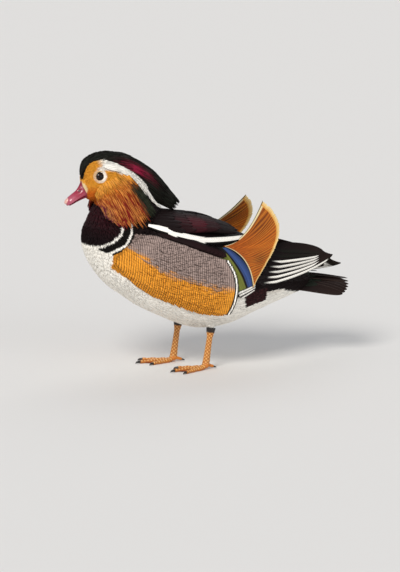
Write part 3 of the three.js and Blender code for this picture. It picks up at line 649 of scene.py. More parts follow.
# Markings
BREAST_EDGE = [[-141, 163], [-136, 163], [-129, 165], [-120, 171], [-110, 180], [-105, 190],
               [-101, 206], [-98, 222]]
BREAST_REAR = [[-141, 151], [-129, 154.5], [-120, 158.6], [-106, 168.4], [-98, 180], [-94, 190],
               [-90, 206], [-86, 222]]
CROWN_EDGE = [[-150, 240], [-146.5, 247], [-144, 255], [-138, 263], [-129, 267.5], [-118, 269],
              [-104, 266.5], [-92, 260], [-78, 249], [-64, 236], [-50, 219]]


def line_side(line, y, z):
    """Distance to a line in the side view, positive above it and towards the bill."""
    line = np.array(line, float)
    a, b = line[:-1], line[1:]
    p = np.stack([y, z], -1)[..., None, :]
    run = b - a
    t = np.clip(((p - a) * run).sum(-1) / (run**2).sum(-1), 0, 1)
    away = p - (a + run * t[..., None])
    distance = np.linalg.norm(away, axis=-1)
    nearest = distance.argmin(-1)
    pick = np.take_along_axis(distance, nearest[..., None], -1)[..., 0]
    cross = run[:, 0] * away[..., 1] - run[:, 1] * away[..., 0]
    sign = np.sign(np.take_along_axis(cross, nearest[..., None], -1)[..., 0])
    return pick * np.where(sign == 0, 1, sign)


def torso_angle(p):
    _, centre, up, down, half = torso.read(p[:, 1])
    rise = p[:, 2] - centre
    return np.degrees(np.arctan2(np.abs(p[:, 0]) / half, rise / np.where(rise > 0, up, down)))


def flank_colour(y, degrees):
    """Grey-brown above and gold below."""
    border = np.interp(y, [-110, -98, -80, -62, -22, 30], [82, 86, 93, 96.5, 98, 99])
    return blend(GREY, GOLD, smooth(-3.5, 3.5, degrees - border))


def flank_rear(degrees):
    lean = np.where(degrees > 98, 0.008, 0.02)
    return 34.5 - lean * (degrees - 98) ** 2


def plumage(p):
    """The colour of skin and coat at places on the body."""
    x, y, z = np.abs(p[:, 0]), p[:, 1], p[:, 2]
    degrees = torso_angle(p)
    jitter = np.sin(z * 1.9 + p[:, 0] * 0.7) * np.cos(y * 1.4)
    shadow = smooth(100, 45, z) * 0.45
    colour = blend(WHITE, BELLY_SHADE, shadow * (0.85 + 0.15 * np.sin(y * 0.9 + z * 1.7)))

    def paint(tone, where):
        nonlocal colour
        colour = blend(colour, tone, np.clip(where, 0, 1))

    paint(flank_colour(y, degrees), (degrees < 128) * (y > -118) * (y < 34))
    paint(DUN, (y > 60) * smooth(128, 100, degrees) * 0.8)
    paint(BACK, (y > 30) * (degrees < 109 + 0.06 * (y - 60)))
    paint(BACK, (y > 84) * (z > 100.5 - 0.29 * (y - 92) + 0.5 * jitter))
    paint(BACK, (y > 36) * (y < 86) * (degrees > 98) * (degrees < 115 - 0.1 * (86 - y)))
    ribs = 0.5 + 0.5 * np.sin(y * 1.7)
    ribbed = (y > 48 + 0.3 * (degrees - 104)) * (y < 86) * (degrees > 104) * (degrees < 127 + jitter)
    paint(blend(RIB, BACK, ribs), ribbed)
    paint(BACK, (degrees < 58 + jitter) * (y > -100))
    paint(GREEN * 0.5, smooth(96, 112, y) * (degrees < 70) * 0.6)
    front = line_side(BREAST_EDGE, y, z + 0.5 * jitter)
    rear = line_side(BREAST_REAR, y, z + 0.5 * jitter)
    before = (y < -84) * (z < 232)
    paint(WHITE, before * (front < 0) * (front > -2.5) * (rear > 0))
    paint(BLACK, before * (front <= -2.5) * (rear > 0) * (161.5 - z < 0.41 * (x - 24)))
    paint(WHITE, before * (rear < 0) * (rear > -2.7) * (y < -86))
    paint(BLACK, before * (rear <= -2.7) * (rear > -5.4) * (degrees < 112) * (y > -119))
    # Painted sheen: the breast is near-black and shows its maroon only in a soft spot at its middle, a
    # painted highlight; the wavy scales are the feathers' own pattern.
    breast_sheen = spot_at((z, 198, 17), (y, -124, 16))
    scales = 0.5 + 0.5 * np.sin(z * 1.05 + 1.5 * np.cos(y * 0.9 + x * 0.5))
    paint(blend(BREAST_DARK, MAROON, breast_sheen * (0.5 + 0.5 * scales)), before * (front > 0))
    paint(BACK, (z > 196) * (y > -96) * (y < -30))
    above = line_side(CROWN_EDGE, y, z)
    on_head = (z > 217 + 0.17 * (y + 92)) * (y < -40)
    paint(blend(FACE, ORANGE, smooth(240, 226, z)), on_head)
    paint(ORANGE * 0.8, on_head * (z < 223 + jitter) * (y < -112))
    bill_gap = np.hypot(np.hypot(y + 140.5, z - 233.5), x * 0.7)
    paint(CREAM, on_head * smooth(8.6, 7.4, bill_gap) * 0.9)
    eye_gap = np.hypot(y - EYE[1], z - EYE[2])
    paint(WHITE, on_head * smooth(8.7, 7.7, eye_gap) * (x > 9) * (0.45 + 0.45 * smooth(-130, -120, y)))
    lid_line = np.abs(line_side([[-131, 253.5], [-127, 257], [-118, 259], [-108, 257]], y, z))
    paint(WHITE, on_head * smooth(3.8, 1.8, lid_line) * smooth(-131, -124, y) * 0.9)
    paint(CREAM, on_head * smooth(262, 267, z) * smooth(-130, -118, y) * 0.7)
    behind = line_side([[-126, 262], [-108, 256], [-92, 246], [-80, 236], [-66, 220], [-58, 205]],
                       y, z)
    paint(WHITE, on_head * smooth(-1.5, 1.5, behind) * smooth(-128, -116, y))
    paint(GREEN, on_head * (y > -88 + 0.35 * (z - 235)) * (behind < 0))
    paint(CROWN, on_head * ((above > 0) | ((x < 5.5) & (z > 244) & (y < -120))))
    return colour


# Painted shade: the skin is the plumage's colour a little darker, for the shade in the gaps between
# the coat's feathers.
add("skin", skin_places, [skin_quads], HIDE, plumage(skin_places) * 0.97,
    nodes=("torso", "neck", "head", "thigh_left", "thigh_right"))


# Body coat
corner = skin_places[skin_tris]
face_cross = np.cross(corner[:, 1] - corner[:, 0], corner[:, 2] - corner[:, 0])
face_area = np.linalg.norm(face_cross, axis=1) / 2
vertex_normal = np.zeros_like(skin_places)
for k in range(3):
    np.add.at(vertex_normal, skin_tris[:, k], face_cross)
vertex_normal = unit(vertex_normal)
tree = BVHTree.FromPolygons(skin_places.tolist(), skin_tris.tolist())


def scatter(spacing, where):
    """Places spread evenly over a zone of the skin, with their normals."""
    centre = corner.mean(1)
    zone = np.flatnonzero(where(centre))
    share = face_area[zone] / face_area[zone].sum()
    tries = int(face_area[zone].sum() / spacing**2 * 6)
    chosen = rng.choice(zone, tries, p=share)
    a, b = rng.random(tries), rng.random(tries)
    swap = a + b > 1
    a, b = np.where(swap, 1 - a, a), np.where(swap, 1 - b, b)
    weights = np.stack([1 - a - b, a, b], -1)[..., None]
    found = (corner[chosen] * weights).sum(1)
    normal = unit((vertex_normal[skin_tris[chosen]] * weights).sum(1))
    _, first = np.unique(np.floor(found / spacing + 0.37).astype(int), axis=0, return_index=True)
    return found[first], normal[first]


def on_skin(p):
    """The nearest places of the skin, and the normals there."""
    place, normal = np.empty_like(p), np.empty_like(p)
    for i, q in enumerate(p):
        hit = tree.find_nearest(Vector(q))
        place[i], normal[i] = hit[0], hit[1]
    return place, normal


def coat(name, spacing, where, length, half, *, raised, rows=5, tip=3.0, look=SOFT, sway=0.12):
    """Small feathers that lie along the skin over one zone."""
    root, normal = scatter(spacing, where)
    count = len(root)
    lie, spot = near_spine(root)
    swing = rng.normal(0, sway, count)[:, None]
    lie = unit(lie + np.cross(normal, lie) * swing)
    lie = unit(lie - normal * (lie * normal).sum(1, keepdims=True))
    size = (1 + rng.normal(0, 0.12, count))[:, None]
    long, wide = (np.reshape(v(root) if callable(v) else v, (-1, 1)) * size for v in (length, half))
    middle, middle_normal = on_skin(root + lie * long * 0.5)
    end, end_normal = on_skin(middle + unit(middle - root) * long * 0.5)
    t = np.linspace(0, 1, rows)[None, :, None]
    height = raised[0] + (raised[1] + rng.uniform(-0.25, 0.35, (count, 1, 1)) - raised[0]) * t
    line = through(root[:, None], middle[:, None], end[:, None], t)
    out = unit(through(normal[:, None], middle_normal[:, None], end_normal[:, None], t))
    width = wide * leaf(t[..., 0], tip)
    places, faces, grain = vanes(line + out * height, out, width, 0.16 * width + 0.05)
    each, quads_each = rows * VANE_ROUND, (rows - 1) * VANE_ROUND
    tint = np.repeat(plumage(line.reshape(-1, 3)), VANE_ROUND, axis=0)
    # Painted shade: each feather a little darker towards its root, which lies under the feathers
    # before it.
    tint = tint * (0.98 + 0.04 * grain[:, 1:2])
    uv = patches(spot, grain, each)
    limit = MOST_TRIANGLES // (2 * quads_each + VANE_ROUND)
    for part, start in enumerate(range(0, count, limit)):
        stop = min(count, start + limit)
        cut = slice(start * each, stop * each)
        quads = faces[0][start * quads_each : stop * quads_each]
        caps = np.concatenate([faces[1][start:stop], faces[1][count + start : count + stop]])
        cut_faces = [quads - start * each, caps - start * each]
        add(f"{name}_{part + 1}", places[cut], cut_faces, look, tint[cut], grain=grain[cut],
            uv=uv[cut])


def hidden(p):
    """Places well under the flank, wing and back groups, where no coat shows."""
    x, y, z = np.abs(p[:, 0]), p[:, 1], p[:, 2]
    degrees = torso_angle(p)
    body = (z < 202) & (x > 5)
    flank = (degrees > 64) & (degrees < 124) & (y > -100) & (y < 22)
    blades = (degrees > 22) & (degrees < 46) & (y > -48) & (y < 25)
    return body & (flank | blades)


def is_head(p):
    return (p[:, 2] > 219.5 + 0.17 * (p[:, 1] + 92)) & (p[:, 1] < -38)


def is_crown(p):
    return is_head(p) & (line_side(CROWN_EDGE, p[:, 1], p[:, 2]) > 1)


def off_eye(p):
    away = np.hypot(p[:, 1] - EYE[1], p[:, 2] - EYE[2])
    return (away > 5.6) | (np.abs(p[:, 0]) < 8)


def off_bill(p):
    return ~((np.hypot(p[:, 1] + 145, p[:, 2] - 235) < 9) & (np.abs(p[:, 0]) < 8))


def leg_zone(p):
    return (p[:, 2] < 66) & (np.hypot(np.abs(p[:, 0]) - LEG["x"], p[:, 1] - 6) < 24)


def kind(p):
    """The zone of each place: face, crown, neck, breast, rings, belly, back, rump or leg."""
    y, degrees = p[:, 1], torso_angle(p)
    name = np.full(len(p), "belly", dtype="<U8")
    name[(y > 60) & (degrees < 92)] = "rump"
    name[(degrees < 62) & (y > -72) & (y <= 60)] = "back"
    name[y < -78] = "breast"
    name[(y < -80) & (np.abs(line_side(BREAST_REAR, y, p[:, 2]) - 2) < 9)] = "rings"
    name[(p[:, 2] > 190) & (y < -28)] = "neck"
    name[leg_zone(p)] = "leg"
    name[is_head(p)] = "face"
    name[is_crown(p)] = "crown"
    return name


def zone(name):
    return lambda p: (kind(p) == name) & ~hidden(p) & off_eye(p) & off_bill(p)


def past_bill(p):
    """From 0 at the bill to 1 well behind it."""
    return smooth(5, 40, np.hypot(p[:, 1] + 138, p[:, 2] - 243))


coat("coat_face", 1.5, zone("face"), lambda p: 2.6 + 2.6 * past_bill(p),
     lambda p: 0.62 + 0.3 * past_bill(p), rows=4, raised=(-0.1, 0.75))
coat("coat_crown", 2.4, zone("crown"), 5.5, 1.0, raised=(-0.1, 1.0), rows=4, look=GLOSSY)
coat("coat_neck", 2.7, zone("neck"), 8.0, 1.7, raised=(-0.3, 1.3), look=GLOSSY)
coat("coat_breast", 2.7, zone("breast"), 8.0, 2.1, raised=(-0.3, 1.1), tip=2.2)
coat("coat_rings", 1.9, zone("rings"), 5.5, 1.25, raised=(-0.2, 0.9), tip=2.2, rows=6, sway=0.05)
coat("coat_belly", 3.5, zone("belly"), lambda p: 10 + 8 * smooth(70, 130, p[:, 1]), 3.1,
     raised=(-0.4, 0.45), tip=2.2)
coat("coat_back", 5.0, zone("back"), 15.0, 4.8, raised=(-0.4, 1.1), tip=3.4, look=GLOSSY)
coat("coat_rump", 4.4, zone("rump"), 15.0, 3.6, raised=(-0.4, 1.1), look=GLOSSY)
coat("coat_leg", 2.4, zone("leg"), 6.5, 1.3, raised=(-0.2, 1.1), tip=2.2)


def lay(name, line, out, half, *, tone, thick=(0.12, 0.08), across=(-1, 0, 1), camber=0.12, tip=3.2,
        base=0.45, side=1, look=GLOSSY, nodes=(), slot=None):
    """Vanes along lines of places, coloured by a function of the vane and its grain."""
    rows = line.shape[1]
    width = np.reshape(half, (-1, 1)) * leaf(np.linspace(0, 1, rows)[None], tip, base)
    places, faces, grain = vanes(line, out, width, thick[0] * width + thick[1], across, camber)
    each = rows * (2 * len(across) - 2)
    tint = tone(np.repeat(np.arange(len(line)), each), grain)
    uv = None
    if look not in (VANE, SHEET):
        uv = patches(near_spine(line[:, 0] * np.array([side, 1, 1]))[1], grain, each)
    add(name, places, faces, look, tint, grain=grain, uv=uv, nodes=nodes, side=side)


def over_torso(name, y, degrees, run, fall, height, half, *, rows=6, bend=0.0, bow=0.0, **rest):
    """Vanes from (y, degrees) that run back and round the torso, between two heights."""
    t = np.linspace(0, 1, rows)[None]
    place_y = y[:, None] + run[:, None] * t + bow * 4 * t * (1 - t)
    turn = np.radians(degrees[:, None] + fall[:, None] * t + bend * t * t)
    lifted = height[0][:, None] * (1 - t) + height[1][:, None] * t
    line = off(torso, place_y, turn, lifted)
    lay(name, line, unit(off(torso, place_y, turn, lifted + 1) - line), half, **rest)


# Flanks, scapulars and wings
FLANK_LOW = 127
FIVE = (-1, -0.5, 0, 0.5, 1)
# Start along the body, length and half width of each tier
SCAPULAR_TIERS = [(-64, 30, 6.5), (-50, 34, 7), (-36, 38, 7.5), (-21, 42, 8), (-6, 46, 8)]
# Start along the body, angle, run, fall, height, rise, half width and bend of each stripe
STRIPES = [[-73, 43.5, 66, 13, 2.8, 0.6, 6.6, -2], [-50, 50, 72, 10, 3.4, 1.6, 6, -9.5],
           [-16, 53.8, 75, 1.5, 4.4, 5.5, 5.6, -20]]


def flank_top(y):
    return np.clip(58 + 8 * (y + 89) / 71, 57, 66.5)


def flank_front(degrees):
    return np.interp(degrees, [56, 68, 80, 90, 103, 114, 127], [-80, -91, -101, -108, -115, -118, -97])


def flank_pad(y):
    return 2.2 + 2.2 * smooth(-110, -80, y) + 0.8 * smooth(-20, 30, y)


def flank(side, label):
    """A padded layer, barred plumes in rows over it, and the banded rim behind."""
    rows_y, rows_d = np.meshgrid(np.linspace(0, 1, 60), np.linspace(0, 1, 40), indexing="ij")
    deg = 57 + 69 * rows_d
    front, rear = flank_front(deg), flank_rear(deg) - 7
    pad_y = front + (rear - front) * rows_y
    edge = np.minimum(1, 5 * rows_y) * np.minimum(1, 6 * rows_d) * np.minimum(1, 4 * (1 - rows_d))
    tall = -0.6 + (flank_pad(pad_y) - 0.4) * edge
    places, faces = shell(off(torso, pad_y, np.radians(deg), tall),
                          off(torso, pad_y, np.radians(deg), -2.2 + 0 * tall))
    # Painted shade: the pad under the plumes is the flank's colour darkened to 0.7.
    tint = both_faces(flank_colour(pad_y, deg)) * 0.7
    add(f"flank_under_{label}", places, faces, HIDE, tint, side=side)

    ys, ds = [], []
    for row, d in enumerate(np.arange(58, FLANK_LOW, 2.1)):
        line = np.arange(flank_front(d), flank_rear(d) - 14, 4.0) + (row % 2) * 2
        ys.append(line + rng.normal(0, 0.5, len(line)))
        ds.append(np.full(len(line), d) + rng.normal(0, 0.6, len(line)))
    ys, ds = np.concatenate(ys), np.concatenate(ds)
    keep = ds > flank_top(ys) + 0.5
    ys, ds = ys[keep], ds[keep]
    base = flank_colour(ys + 6, ds + rng.normal(0, 1.6, len(ds)))
    edge = np.minimum(1, 0.4 + (ys - flank_front(ds)) / 22)
    edge = edge * np.minimum(1, 0.1 + (FLANK_LOW - ds) / 12)
    over = flank_pad(ys) * edge
    size = 1 + rng.normal(0, 0.1, len(ys))
    # Painted shade: each plume darker towards its root, under the plumes before it.
    over_torso(f"flank_plumes_{label}", ys, ds, 13 * size, 1.6 + 4 * smooth(112, 126, ds),
               (over - 1.2, over + 0.5 + rng.uniform(-0.2, 0.2, len(ys))), 2.9 * size, rows=5,
               side=side, look=BARRED, camber=0.25, tip=2.6,
               tone=lambda i, g: base[i] * (0.85 + 0.25 * g[:, 1:2]),
               nodes=(f"flank_{label}",), slot="flank_feathers")

    d = np.linspace(74, 125, 80)
    ends = flank_rear(d) + 1.2
    run = np.full(len(d), 22.0)
    rim_base = flank_colour(ends - 10, d)

    def rim(i, g):
        t = g[:, 1]
        tone = blend(rim_base[i], BLACK, (t > 0.74) & (t < 0.83))
        tone = blend(tone, WHITE, (t >= 0.83) & (t < 0.95))
        return blend(tone, BLACK, t >= 0.95)

    over_torso(f"flank_rim_{label}", ends - run, d - 1.5, run, 1.5 + 0 * d,
               (flank_pad(ends) - 1.5, flank_pad(ends) + 1.0 + 0.3 * rng.random(len(d))), 2.3,
               rows=24, across=FIVE, tip=14, side=side, look=BARRED, tone=rim,
               slot="flank_feathers")


def scapulars(side, label):
    """Dark pointed feathers in five tiers over the back."""
    rows = []
    for tier, (start, length, wide) in enumerate(SCAPULAR_TIERS):
        for d in np.linspace(3 + 1.0 * tier, 46 - 2.5 * tier, 8):
            y = start + rng.normal(0, 1.0) + 4 * (d / 45)
            run = length * (1 + rng.normal(0, 0.05))
            rows.append([y, d, run, (33 - d) * 0.13 * tier, wide, 1.6 + 0.75 * tier + 0.02 * d])
    ys, ds, runs, falls, sizes, lows = np.array(rows).T
    base = blend(BACK, SHOULDER, spot_at((ys, -34, 14), (ds, 30, 14)))
    # Painted shade: each feather darker towards its root, under the feathers before it.
    over_torso(f"scapular_plumes_{label}", ys, ds, runs, falls, (lows - 0.9, lows + 2.2 + 0.02 * runs),
               sizes, rows=12, across=FIVE, tip=3.4, side=side, look=VANE,
               tone=lambda i, g: base[i] * (0.85 + 0.2 * g[:, 1:2]),
               nodes=(f"scapulars_{label}",), slot="dark_feathers")


def stripes(side, label):
    """White feathers edged in black along the scapulars' side."""
    y, degrees, run, fall, low, rise, half, bend = np.array(STRIPES).T

    def stripe(i, g):
        edge = (np.abs(g[:, 0]) > 0.6) * ((g[:, 1] > 0.16) | (i == 0)) + (g[:, 1] > 0.97)
        return blend(WHITE, BLACK, edge)

    over_torso(f"stripe_{label}", y, degrees, run, fall, (low, low + rise), half, rows=24,
               bend=bend[:, None], across=(-1, -0.8, -0.61, -0.59, 0, 0.59, 0.61, 0.8, 1), tip=4,
               base=0.55, side=side, look=VANE, tone=stripe, slot="dark_feathers")


def coverts(side, label):
    """Dark coverts between the scapulars and the flank."""
    y = np.linspace(-64, 0, 14)
    up = smooth(-66, -20, y)
    over_torso(f"coverts_{label}", y, 53 + 0.15 * (y + 64), 24 - 4 * up, 4 + 2 * up,
               (1.2 + 3 * up, 3.2 + 3.6 * up), 5.5 + 0.8 * up, rows=10, across=FIVE,
               side=side, look=VANE, slot="dark_feathers",
               tone=lambda i, g: blend(BACK, MAROON, 0.3 * g[:, 1]))


def wing(side, label):
    """The blue and green speculum with its banded tips."""
    k = np.linspace(0, 1, 9)

    def speculum(i, g):
        t, s = g[:, 1], g[:, 0]
        tone = blend(OLIVE, BLUE * 0.8, k[i] + 0.06 * s > 0.52)
        # Painted highlight: a brighter blue on the blue feathers round k 0.8.
        tone = blend(tone, BLUE * 1.3, (k[i] > 0.6) * spot_at((k[i], 0.8, 0.12)) * 0.6)
        tone = blend(tone, BLACK, (np.abs(k[i] + 0.06 * s - 0.5) < 0.05) | (t > 0.82))
        tone = blend(tone, BLACK, (k[i] < 0.5) * (t < 0.13))
        bars = (t > 0.84) * (t < 0.985) * (np.sin((t - 0.84) / 0.145 * 5 * np.pi) > 0)
        tone = blend(tone, WHITE, bars)
        return blend(tone, BLACK, (np.abs(s) > 0.86) * 0.3)

    over_torso(f"speculum_{label}", 9 + 17 * k, 60 - 3 * k, 35.5 - 1.5 * k, 50 - 3 * k,
               (2.2 + 0.8 * (1 - k), 3.2 + 1.2 * (1 - k)), 3.9, rows=60,
               across=(-1, -0.86, -0.4, 0, 0.4, 0.86, 1), tip=9, base=0.5, side=side, look=SHEET,
               tone=speculum, nodes=(f"wing_{label}",), slot="wing_feathers", bend=-2,
               bow=9 * k[:, None])


for side, label in SIDES:
    for group in (flank, scapulars, stripes, coverts, wing):
        group(side, label)


# Crest, brow and ruff
read_crest = curve(CREST)


def crest(share, angle):
    """The crest's surface, by share of its length and angle round it."""
    share, angle = np.broadcast_arrays(np.asarray(share, float), np.asarray(angle, float))
    _, y, z, tall, half = read_crest(share)
    _, y0, z0, _, _ = read_crest(np.clip(share - 0.01, 0, 1))
    _, y1, z1, _, _ = read_crest(np.clip(share + 0.01, 0, 1))
    run = np.hypot(y1 - y0, z1 - z0)
    back, drop = (y1 - y0) / run, (z1 - z0) / run
    side, up = rounded(angle, 2.1)
    return point(side * half, y - up * tall * drop, z + up * tall * back)


def hackles(name, line, out, half, thick, *, tip=2.2, look=HACKLE, **rest):
    """Narrow feathers of one thickness along given lines."""
    lay(name, line, out, half, thick=(0, thick), camber=0.25, tip=tip, base=0.6, look=look, **rest)


def crest_plumes():
    """A dark core and the loose hackles that lie along it."""
    share = np.linspace(0.015, 0.9, 60)[:, None]
    around = full_turn(48)[None]
    inset = -1.4 - 1.6 * smooth(0.45, 0.9, share)
    places, faces = loft(off(crest, share, around, inset + 0 * around, 0.004))
    add("crest_under", places, faces, HIDE, CROWN)

    count = 1500
    start = np.sort(rng.uniform(0.02, 0.82, count))
    turn = np.radians(rng.uniform(-1, 1, count) * np.where(start > 0.5, 172, 100))
    grow = 0.07 + 0.24 * smooth(0.05, 0.55, start) + rng.uniform(-0.02, 0.05, count)
    grow = np.minimum(grow, 1.0 - start - rng.uniform(0, 0.05, count) * smooth(0.6, 0.75, start))
    t = np.linspace(0, 1, 8)[None]
    along = start[:, None] + grow[:, None] * t
    curl = turn[:, None] * (1 - 0.12 * t)
    lift = -1.5 * (1 - t) + (0.25 + rng.uniform(-0.5, 0.5, (count, 1))) * t
    line = off(crest, along, curl, lift, 0.004)
    out = unit(off(crest, along, curl, lift + 1, 0.004) - line)
    middle = spot_at((start, 0.36, 0.08), (np.abs(turn), 1.5, 0.4))
    base = blend(blend(CROWN, GREEN, rng.uniform(0, 0.35, count)), CRIMSON,
                 np.clip(middle * rng.uniform(0.6, 1.3, count), 0, 1))
    # Painted shade: each hackle runs from dark at its root, under the ones over it, to a little
    # brighter than its own colour at the tip.
    hackles("crest_feathers", line, out, 1.15 + 0.5 * smooth(0.1, 0.5, start), 0.22, look=GLOSSY,
            tone=lambda i, g: base[i] * (0.75 + 0.45 * g[:, 1:2]), nodes=("crest",),
            slot="crest_feathers")


crest_plumes()
read_brow = curve(BROW)
read_ruff = curve(RUFF)


def ruff(along, across):
    """The left ruff's outer sheet, along its feathers and across them."""
    _, y0, z0, y1, z1, y2, z2 = read_ruff(across)
    y, z = arc(y0, y1, y2, along), arc(z0, z1, z2, along)
    reach = np.maximum.reduce([side_reach(y + step, z) for step in (-5, 0, 5)])
    return point(reach - 0.6 + 4.8 * smooth(0, 0.5, along) - 1.6 * smooth(0.65, 1, along), y, z)


def brow_plumes(side, label):
    """White hackles over the eye and down the side of the neck."""
    count = 240
    start = np.sort(rng.uniform(0, 0.8, count))
    place = rng.uniform(-1, 1, count)
    t = np.linspace(0, 1, 8)[None]
    along = np.clip(start[:, None] + 0.2 * t, 0, 1)
    _, y, z, x, half = read_brow(along)
    x = np.minimum(x, np.where(along < 0.5, side_reach(y, z) + 1.4, x))
    spread = place[:, None] * half * 0.8
    line = point(x - 0.5 + 0.9 * t + 0.4 * (1 - place[:, None] ** 2), y + spread * 0.45,
                 z + spread * 0.9)
    # Painted shade: each white hackle a little darker towards its root, under the ones over it.
    hackles(f"brow_plumes_{label}", line, unit(np.array([1, 0, 0.15])), 0.9, 0.2, side=side,
            tone=lambda i, g: WHITE * (0.88 + 0.12 * g[:, 1:2]), nodes=(f"brow_{label}",),
            slot="white_feathers")


def ruff_plumes(side, label):
    """A warm core and the long cheek hackles over it, darker towards their tips."""
    a, b = np.meshgrid(np.linspace(0.1, 0.62, 30), np.linspace(0.01, 0.99, 40), indexing="ij")
    places, faces = shell(ruff(a, b) + point(-0.9 - a, 0, 0), ruff(a, b) + point(-4.2 - a, 0, 0))
    # Painted shade: the core under the hackles is their rust darkened to 0.6.
    add(f"ruff_under_{label}", places, faces, HIDE, RUST * 0.6, side=side)

    count = 1150
    start = np.sort(rng.uniform(-0.04, 0.62, count))
    across = np.clip(rng.uniform(-0.02, 1.02, count), 0, 1)
    grow = 0.2 + 0.2 * smooth(0, 0.4, start) + rng.uniform(-0.03, 0.06, count)
    grow = np.minimum(grow, 1.03 - start - rng.uniform(0, 0.12, count))
    t = np.linspace(0, 1, 9)[None]
    along = np.clip(start[:, None] + grow[:, None] * t, 0, 1.05)
    wander = np.clip(across[:, None] + rng.normal(0, 0.012, (count, 1)) * t, 0, 1)
    line = ruff(along, wander)
    depth = rng.uniform(-0.9, 0.9, (count, 1))
    line = line + point(-1.3 * (1 - t) + (0.9 + depth) * t - 1.2 * smooth(0.6, 1, along), 0, 0)
    stray = rng.uniform(0, 1, (count, 1)) * smooth(0.22, 0.02, across)[:, None] * t**2
    stray = stray * smooth(0.12, 0.34, start)[:, None]
    line = line + point(0.3, -1, -0.9) * (3.2 * stray)[..., None]
    warm = rng.uniform(0, 1, count)
    base = blend(blend(FACE, ORANGE, smooth(-0.02, 0.18, start)), RUST,
                 smooth(0.12, 0.5, start + 0.3 * warm))
    base = base * rng.uniform(0.6, 1.08, (count, 1))
    back = smooth(0.82, 0.9, across) * smooth(0.06, 0.2, start)
    base = blend(base, RUFF_BACK, back)

    def ruff_tone(i, g):
        deep = blend(RUFF_TIP, RUFF_TIP_FRONT, smooth(0.45, 0.1, across[i]))
        share = smooth(0.2, 0.85, g[:, 1]) * smooth(0.08, 0.36, start[i]) * (1 - back[i])
        tone = blend(base[i], deep, share)
        light = (np.abs(g[:, 0]) < 0.3) * (warm[i] > 0.45) * (0.95 - 0.45 * g[:, 1])
        return blend(tone, RUFF_SHAFT, light * (1 - back[i]))

    hackles(f"ruff_plumes_{label}", line, unit(np.array([1, -0.1, 0.2])), 1.1, 0.35, side=side,
            tone=ruff_tone, tip=1.8, nodes=(f"ruff_{label}",), slot="ruff_feathers")


for side, label in SIDES:
    brow_plumes(side, label)
    ruff_plumes(side, label)


# Sails
SAIL_BARBS = 190
SAIL_REACH = 105


def sail(t, s):
    """Places of the left sail, t from its root to its end and s from its top edge to its lower one."""
    front, crown, keel, top, rear, waist, bottom = (np.array(v, float) for v in SAIL.values())
    run, u = np.asarray(t)[..., None], np.asarray(s)[..., None]
    upper, lower = arc(front, crown, top, run), arc(front, keel, bottom, run)
    edge = top * (1 - u) ** 3 + 3 * u * (1 - u) * (rear * (1 - u) + waist * u) + bottom * u**3
    bulge = edge - (top + (bottom - top) * u)
    bow = point(5 * np.sin(np.pi * s) * t * (1 - t * 0.4), 0, 0)
    return upper * (1 - u) + lower * u + bulge * run**2.2 + bow


def barb_run(t, s):
    """Which barb a place of the sail is on, as a share counted from the front edge."""
    return s * (0.14 + 0.86 * t)


def barb_wave(t, s):
    """Ridges and grooves of the sail's barbs, slightly wavy."""
    return np.sin(barb_run(t, s) * SAIL_BARBS + 2.5 * np.sin(t * 9 + s * 23))


def sail_tone(t, s, wiggle):
    """Orange with darker streaks, a white edge along both long sides and a pale rim behind."""
    streak = 0.5 + 0.5 * barb_wave(t, s)
    # Two soft dark blotches, one near the upper edge and one lower down, both towards the end.
    dark_blotch = spot_at((s, 0.12, 0.12), (t, 0.75, 0.2)) + spot_at((s, 0.72, 0.1), (t, 0.8, 0.12))
    tone = blend(SAIL_ORANGE, SAIL_STREAK, np.clip(0.85 * streak * wiggle + 0.45 * dark_blotch, 0, 1))
    # Painted highlight: lighter gold between the dark streaks, growing towards the sail's end.
    tone = blend(tone, SAIL_HIGHLIGHT, smooth(0.3, 0.8, t) * (1 - streak) * wiggle * 0.5)
    rim = np.minimum(s, 1 - s) * (t * SAIL_REACH)
    tone = blend(tone, CREAM, smooth(2.6, 1.8, rim) * (t > 0.05))
    broad = 0.055 - 0.03 * smooth(0.5, 1, s)
    pale = blend(SAIL_RIM, SAIL_RIM_PALE, smooth(1 - broad, 1, t))
    tone = blend(tone, pale, t > 1 - broad)
    return blend(tone, BLACK, smooth(0.9, 0.5, rim) * 0.8)


def sail_vane(side, label):
    """One raised sail as a thin sheet with barbs, a shaft and a slightly ragged end."""
    t, s = np.meshgrid(np.linspace(0.02, 1, 120), np.linspace(0, 1, 200), indexing="ij")
    dt = sail(t + 0.004, s) - sail(t - 0.004, s)
    ds = sail(t, s + 0.004) - sail(t, s - 0.004)
    normal = unit(np.cross(dt, ds))
    groove = 0.10 * barb_wave(t, s)
    shaft = 0.7 * np.exp(-(((s - 0.3 - 0.12 * t) * 70 * t) ** 2)) * (1 - 0.6 * t)
    fringe = 1 - 0.012 * np.abs(np.sin(s * 95 + 3 * np.sin(s * 31))) * smooth(0.9, 1, t)
    middle = sail(t * fringe, s)
    thick = 0.42 * (1 - 0.5 * smooth(0.9, 1, t))
    outer = middle + normal * (thick + groove + shaft)[..., None]
    inner = middle - normal * (thick - groove)[..., None]
    places, faces = shell(outer, inner)
    wiggle = np.interp(barb_run(t, s), np.linspace(0, 1, 90), rng.uniform(0.2, 1, 90))
    add(f"sail_vane_{label}", places, faces, SHEET, both_faces(sail_tone(t, s, wiggle)),
        grain=both_faces(np.stack([s * 2 - 1, t, 0 * t], -1)), nodes=(f"sail_{label}",),
        side=side)


for side, label in SIDES:
    sail_vane(side, label)


# Primaries and tail
def path(points, rows):
    """Quadratic lines through three places each."""
    a, b, c = (places[:, None] for places in points)
    return arc(a, 2 * b - (a + c) / 2, c, np.linspace(0, 1, rows)[None, :, None])


